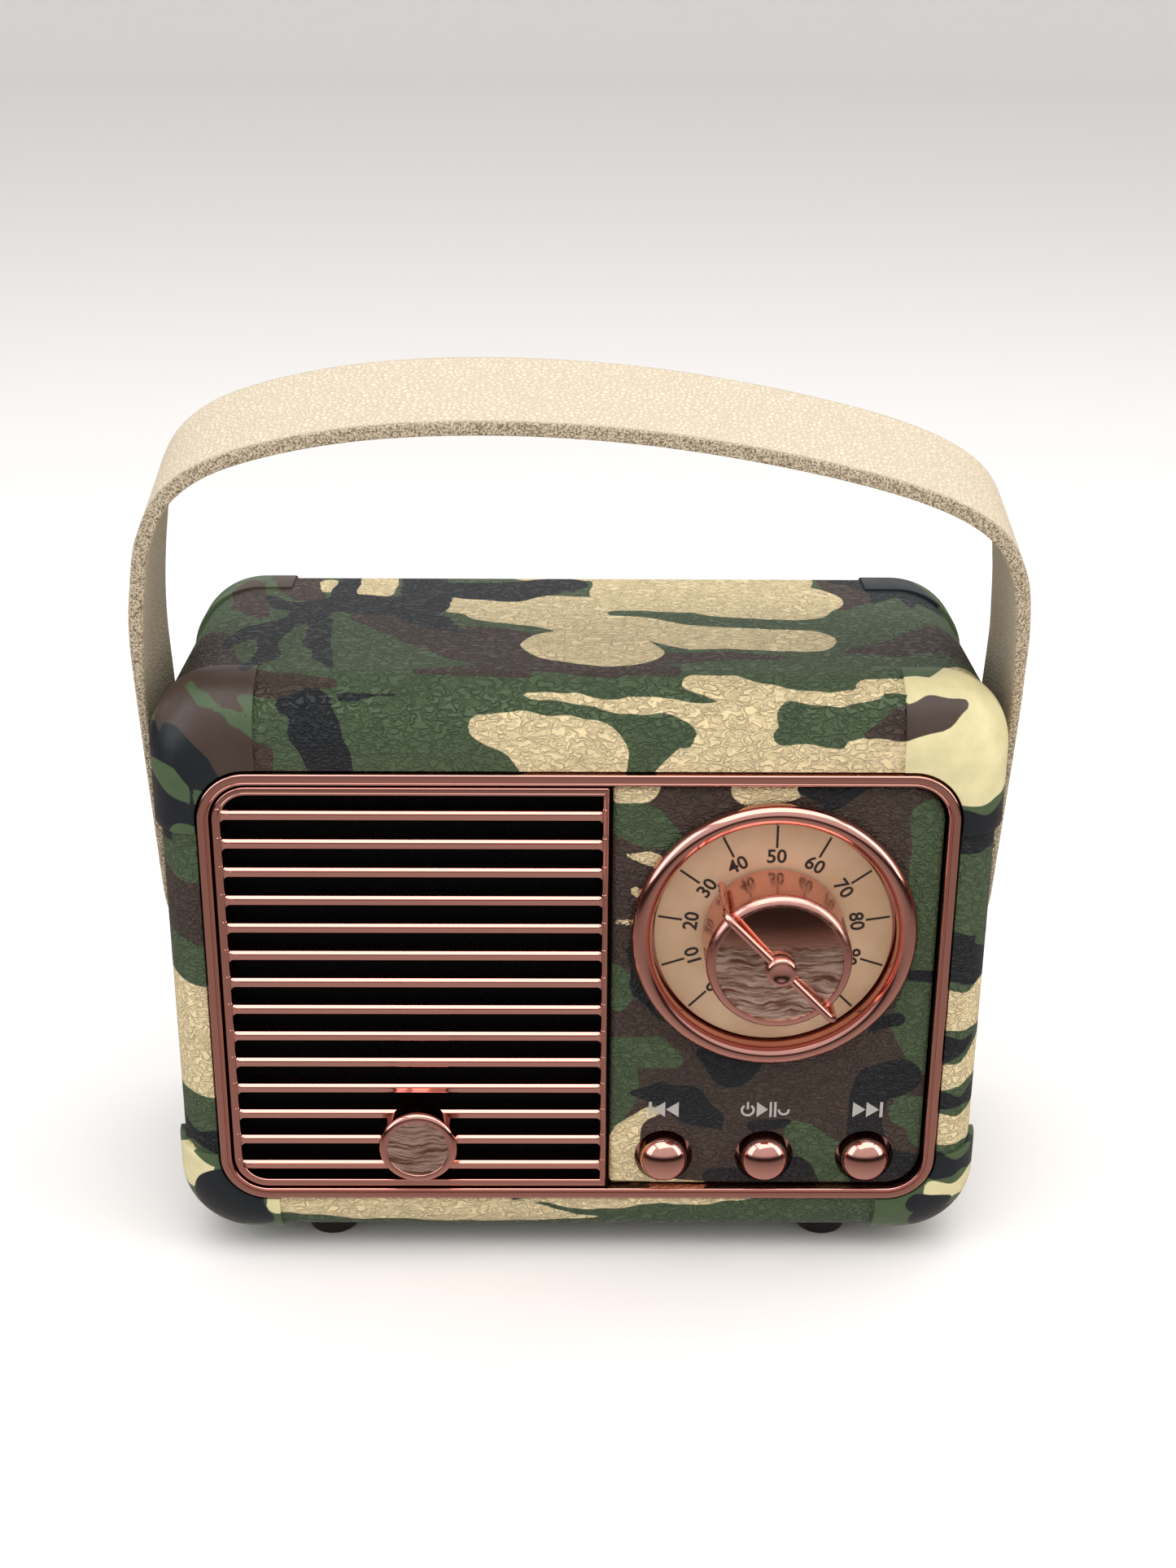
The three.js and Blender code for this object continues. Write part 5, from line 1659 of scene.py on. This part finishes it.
# %% Rear cover with its window
WINDOW_HALF_WIDTH, WINDOW_HALF_HEIGHT, WINDOW_CORNER, WINDOW_Z = 26.3, 6.8, 3, 62.0
window_low, window_high = WINDOW_Z - WINDOW_HALF_HEIGHT, WINDOW_Z + WINDOW_HALF_HEIGHT
CUT_FROM, CUT_TO = case_depth - 6, case_depth + 2
NEARLY_SHUT = WINDOW_HALF_HEIGHT - 0.01


def window_end(depth):
    """The window's outline drawn in almost to its middle line, at one end of the cutter."""
    sides = (-WINDOW_HALF_WIDTH, WINDOW_HALF_WIDTH, window_low, window_high)
    return ring_stations([(NEARLY_SHUT, depth)], *sides, WINDOW_CORNER, WINDOW_CORNER)


cutter_rows = np.array([station(0, WINDOW_HALF_WIDTH, window_low, window_high, WINDOW_CORNER)] * 2)
cutter_rows[:, 0] = (CUT_FROM, CUT_TO)
closed_rows = np.vstack([window_end(44), cutter_rows, window_end(52)])
window_cutter = make("window_cutter", grid(loops(closed_rows, samples(8, 4, 8))))
cover_box = box_mm("rear_cover")
cover = wrapped_plate("cover_leatherette", cover_box, (6, 6), 0.5, 0.8, [window_cutter], back_first=True)
print_inks(cover, "green", [(ink, on_plane(cover_box[1][1], stops)) for ink, stops in cover_patches])
dress(cover, leatherette, "cabinet", ["rear_cover"])

# %% [markdown]
# ## The screws of the rear cover
#
# Each is a small pan head with a cross recess, cut by two bars. The sockets and the status light keep their
# mechanical shapes.

# %% Rear screws
screw_steel = plain_finish("screw_steel", "#9A9A9C", 0.3, metallic=1.0, grain_per_mm=3, grain_mm=0.004)


def cross_screw(node):
    """A small pan head with a cross recess: a turned head, less two crossed bars."""
    low, high = box_mm(node)
    place = (low + high) / 2
    head = (high[0] - low[0]) / 2
    shaft = (0.55 * head, low[1])
    section = profile(
        (0, high[1]),
        (head * 0.5, high[1]),
        arc((head - 0.45, high[1] - 0.45), (0.45, 0.45), 90, 0, 5),
        (head, high[1] - 0.9),
        (shaft[0], high[1] - 0.9),
        shaft,
        (0, low[1]),
    )
    piece = make(
        node.replace("rear_screw", "cover_screw"), turned(section, (place[0], 0, place[2]), steps=48), 30
    )
    slots = []
    for wide, tall in ((0.34, 1.25), (1.25, 0.34)):
        corners = [
            (place[0] - wide, place[2] - tall), (place[0] + wide, place[2] - tall),
            (place[0] + wide, place[2] + tall), (place[0] - wide, place[2] + tall),
        ]
        slots.append(make("slot", prism(corners, high[1] - 0.5, high[1] + 1.0)))
    cut_out(piece, slots, 30)
    return piece


for node in sorted(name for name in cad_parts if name.startswith("rear_screw_")):
    dress(cross_screw(node), screw_steel, "cabinet", [node])

# %% [markdown]
# ## What stays as it was made
#
# The inner parts keep their mechanical shapes, which are right as they are: the baffle, the loudspeaker, the
# boards, the cell, the leads. Each gets a real material. Injection-moulded ABS is satin black with a fine
# spark erosion texture; the loudspeaker cone is felted paper; the boards are glass fibre under a solder mask.

# %% Materials of the inner parts
def cloth_finish():
    """Acoustic cloth: a plain weave of dull black threads, 0.4 mm apart, as two crossed sine waves."""
    finish, tree, body, in_mm = new_finish("acoustic_cloth", Roughness=0.95, Specular_IOR_Level=0.1)
    waves = []
    for turn in ((1.0, 0.0, 0.0), (0.0, 0.0, 1.0)):
        along = add(tree, "VectorMath", {0: in_mm, 1: turn}, operation="DOT_PRODUCT").outputs["Value"]
        turned_by = maths(tree, "MULTIPLY", along, 2 * math.pi / 0.4)
        waves.append(maths(tree, "SINE", turned_by))
    weave = maths(tree, "MULTIPLY", waves[0], waves[1])
    shade = blended(tree, spread(tree, weave, 0, 1, -1, 1), colour("#050506"), colour("#0E0E10"))
    tree.links.new(shade, body.inputs["Base Color"])
    bumped(tree, body, weave, 0.05, 0.6)
    return finish


def board_finish():
    """Green solder mask over glass fibre, with faint copper tracks showing through as brick-like steps."""
    finish, tree, body, in_mm = new_finish("solder_mask_board", Roughness=0.35, Specular_IOR_Level=0.5)
    bricks = {"Vector": in_mm, "Scale": 0.5, "Mortar Size": 0.06}
    greens = {"Color1": colour("#12452C"), "Color2": colour("#0F3A26"), "Mortar": colour("#1E5C3C")}
    tracks = add(tree, "TexBrick", {**bricks, **greens}).outputs["Color"]
    tree.links.new(tracks, body.inputs["Base Color"])
    bumped(tree, body, noise(tree, in_mm, 3), 0.01, 0.4)
    return finish


def clear_finish():
    """Milky clear plastic for the light guide and the flat cable."""
    finish, tree, body, in_mm = new_finish("clear_polycarbonate", Base_Color=colour("#DDE3E6"), Roughness=0.2)
    body.inputs["Transmission Weight"].default_value = 0.6
    tree.links.new(spread(tree, noise(tree, in_mm, 1.0), 0.15, 0.3), body.inputs["Roughness"])
    return finish


slot_finishes = {
    "black_plastic": plain_finish("black_abs", "#141415", 0.5, grain_per_mm=5, grain_mm=0.015),
    "steel": plain_finish(
        "zinc_plated_steel", "#A4A6A8", 0.32, metallic=1.0, grain_per_mm=1.5, grain_mm=0.004
    ),
    "cone_paper": plain_finish(
        "felted_cone_paper", "#2A2724", 0.9, grain_per_mm=2.5, grain_mm=0.04, level=0.2
    ),
    "cell_wrap": plain_finish("shrink_wrap", "#2E5E86", 0.35, grain_per_mm=0.6, grain_mm=0.02),
    "wire_sheath": plain_finish("wire_sheath_pvc", "#8E1F1B", 0.42, grain_per_mm=1.5, grain_mm=0.01),
    "grille_cloth": cloth_finish(),
    "circuit_board": board_finish(),
    "clear_plastic": clear_finish(),
    "rose_gold": rose_gold,
    "rubber": rubber,
    "dial_face": champagne,
    "leatherette": leatherette,
    "guard_plastic": guard_plastic,
}


def slot_name(node):
    """The finish slot of a frame node: the name of the plain material it came with."""
    return node.data.materials[0].name.split(".")[0]


painted = {}
for name, node in sorted(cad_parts.items()):
    kept = slot_name(node)
    painted.setdefault(kept, []).append(name)
    node.data.materials[0] = slot_finishes.get(kept, slot_finishes["black_plastic"])
for kept, names in sorted(painted.items()):
    print(kept, len(names), "nodes")

# %% [markdown]
# ## Light, floor and camera
#
# A product picture of chrome is a picture of what the chrome sees. Here that is a bright ceiling, a darker
# warm room below and in front, and one large soft light at each side. The floor is pale and plain, and it is
# kept out of the mirror reflections so that the lower bars stay deep. It is a round sheet, turned about Z:
# flat as far as the bend, then a quarter circle and a low wall.

# %% Camera
def camera_matrix(place, pitch, yaw, roll):
    """Camera axes from its tilt down, its turn and its roll, in degrees: right, up and back as columns."""
    down, turn, twist = (math.radians(angle) for angle in (pitch, yaw, roll))
    forward = np.array([math.sin(turn) * math.cos(down), math.cos(turn) * math.cos(down), -math.sin(down)])
    right = np.array([math.cos(turn), -math.sin(turn), 0.0])
    up = np.cross(right, forward)
    right_rolled = right * math.cos(twist) + up * math.sin(twist)
    up_rolled = -right * math.sin(twist) + up * math.cos(twist)
    placed = np.eye(4)
    placed[:3, 0], placed[:3, 1], placed[:3, 2], placed[:3, 3] = right_rolled, up_rolled, -forward, place
    return Matrix(placed.tolist())


FOCAL_LENGTH = 47.131  # millimetres, on a sensor 36 mm wide
EYE_PLACE = (-0.00146, -0.25558, 0.16692)  # metres
PITCH_DOWN, YAW, ROLL = 22.239, 0.603, 0.379  # degrees
lens = bpy.data.cameras.new("studio_camera")
lens.lens = FOCAL_LENGTH
lens.sensor_width = 36
lens.clip_start = 0.01
eye = bpy.data.objects.new("studio_camera", lens)
eye.matrix_world = camera_matrix(EYE_PLACE, PITCH_DOWN, YAW, ROLL)
bpy.context.scene.collection.objects.link(eye)
bpy.context.scene.camera = eye

# %% Floor and backdrop
def floor_finish():
    """Matt white board with the slightest unevenness."""
    finish, tree, body, in_mm = new_finish("white_board", Base_Color=colour("#F3F1F0"), Roughness=0.7)
    tree.links.new(spread(tree, noise(tree, in_mm, 0.05), 0.65, 0.8), body.inputs["Roughness"])
    return finish


FLOOR_RADIUS, FLOOR_BEND, FLOOR_WALL = 2600.0, 500.0, 1200.0
floor_section = profile(
    (0.0, 0.0),
    arc((FLOOR_RADIUS, FLOOR_BEND), (FLOOR_BEND, FLOOR_BEND), -90, 0, 14),
    (FLOOR_RADIUS + FLOOR_BEND, FLOOR_WALL),
)
floor = make("studio_floor", turned(floor_section, (0, 0, 0), axis=2, steps=96))
floor.data.flip_normals()
floor.data.materials.append(floor_finish())
floor.visible_glossy = False

# %% Lights and world
def soft_light(name, place, target, size, power, tint):
    """A rectangular area light at a place in metres, facing its target."""
    lamp = bpy.data.lights.new(name, "AREA")
    lamp.shape = "RECTANGLE"
    lamp.size, lamp.size_y = size
    lamp.energy = power
    lamp.color = colour(tint)[:3]
    holder = bpy.data.objects.new(name, lamp)
    back = np.array(place) - np.array(target)
    back = back / np.linalg.norm(back)
    across = np.cross([0.0, 0.0, 1.0], back)
    across = across / np.linalg.norm(across) if np.linalg.norm(across) > 1e-6 else np.array([1.0, 0, 0])
    placed = np.eye(4)
    placed[:3, 0], placed[:3, 1], placed[:3, 2], placed[:3, 3] = across, np.cross(back, across), back, place
    holder.matrix_world = Matrix(placed.tolist())
    bpy.context.scene.collection.objects.link(holder)


aim = (0, 0, 0.05)
soft_light("overhead", (0.05, -0.15, 0.8), aim, (1.1, 0.9), 5.6, "#FFFBF8")
soft_light("left", (-0.75, -0.35, 0.45), aim, (0.5, 0.7), 2.0, "#F6F8FF")
soft_light("right", (0.7, -0.25, 0.35), aim, (0.3, 0.6), 1.6, "#FFF6EE")


def studio_world():
    """Surroundings by direction: warm dark below, soft pink-white above, mixed by the height of the
    direction."""
    world = bpy.data.worlds.new("studio_world")
    bpy.context.scene.world = world
    world.use_nodes = True
    tree = world.node_tree
    tree.nodes.clear()
    direction = add(tree, "TexCoord").outputs["Generated"]
    up = add(tree, "SeparateXYZ", {0: direction}).outputs[2]
    share = add(tree, "MapRange", {"Value": up, "From Min": -1.0, "From Max": 1.0}).outputs["Result"]
    ramp = add(tree, "ValToRGB", {"Fac": share})
    stops = [
        (0.0, "#CFC5C0"), (0.2, "#B3A7A0"), (0.34, "#978A83"), (0.41, "#453A37"), (0.485, "#2E2725"),
        (0.52, "#8F8581"), (0.6, "#F2EFEE"), (1.0, "#FFFFFF"),
    ]
    elements = ramp.color_ramp.elements
    for element, (place, tint) in zip(elements, (stops[0], stops[-1])):
        element.position = place
        element.color = colour(tint)
    for place, tint in stops[1:-1]:
        element = elements.new(place)
        element.color = colour(tint)
    glow = add(tree, "Background", {"Color": ramp.outputs[0], "Strength": 0.8})
    add(tree, "OutputWorld", {"Surface": glow.outputs[0]})


studio_world()
bpy.context.scene.view_settings.view_transform = "Standard"
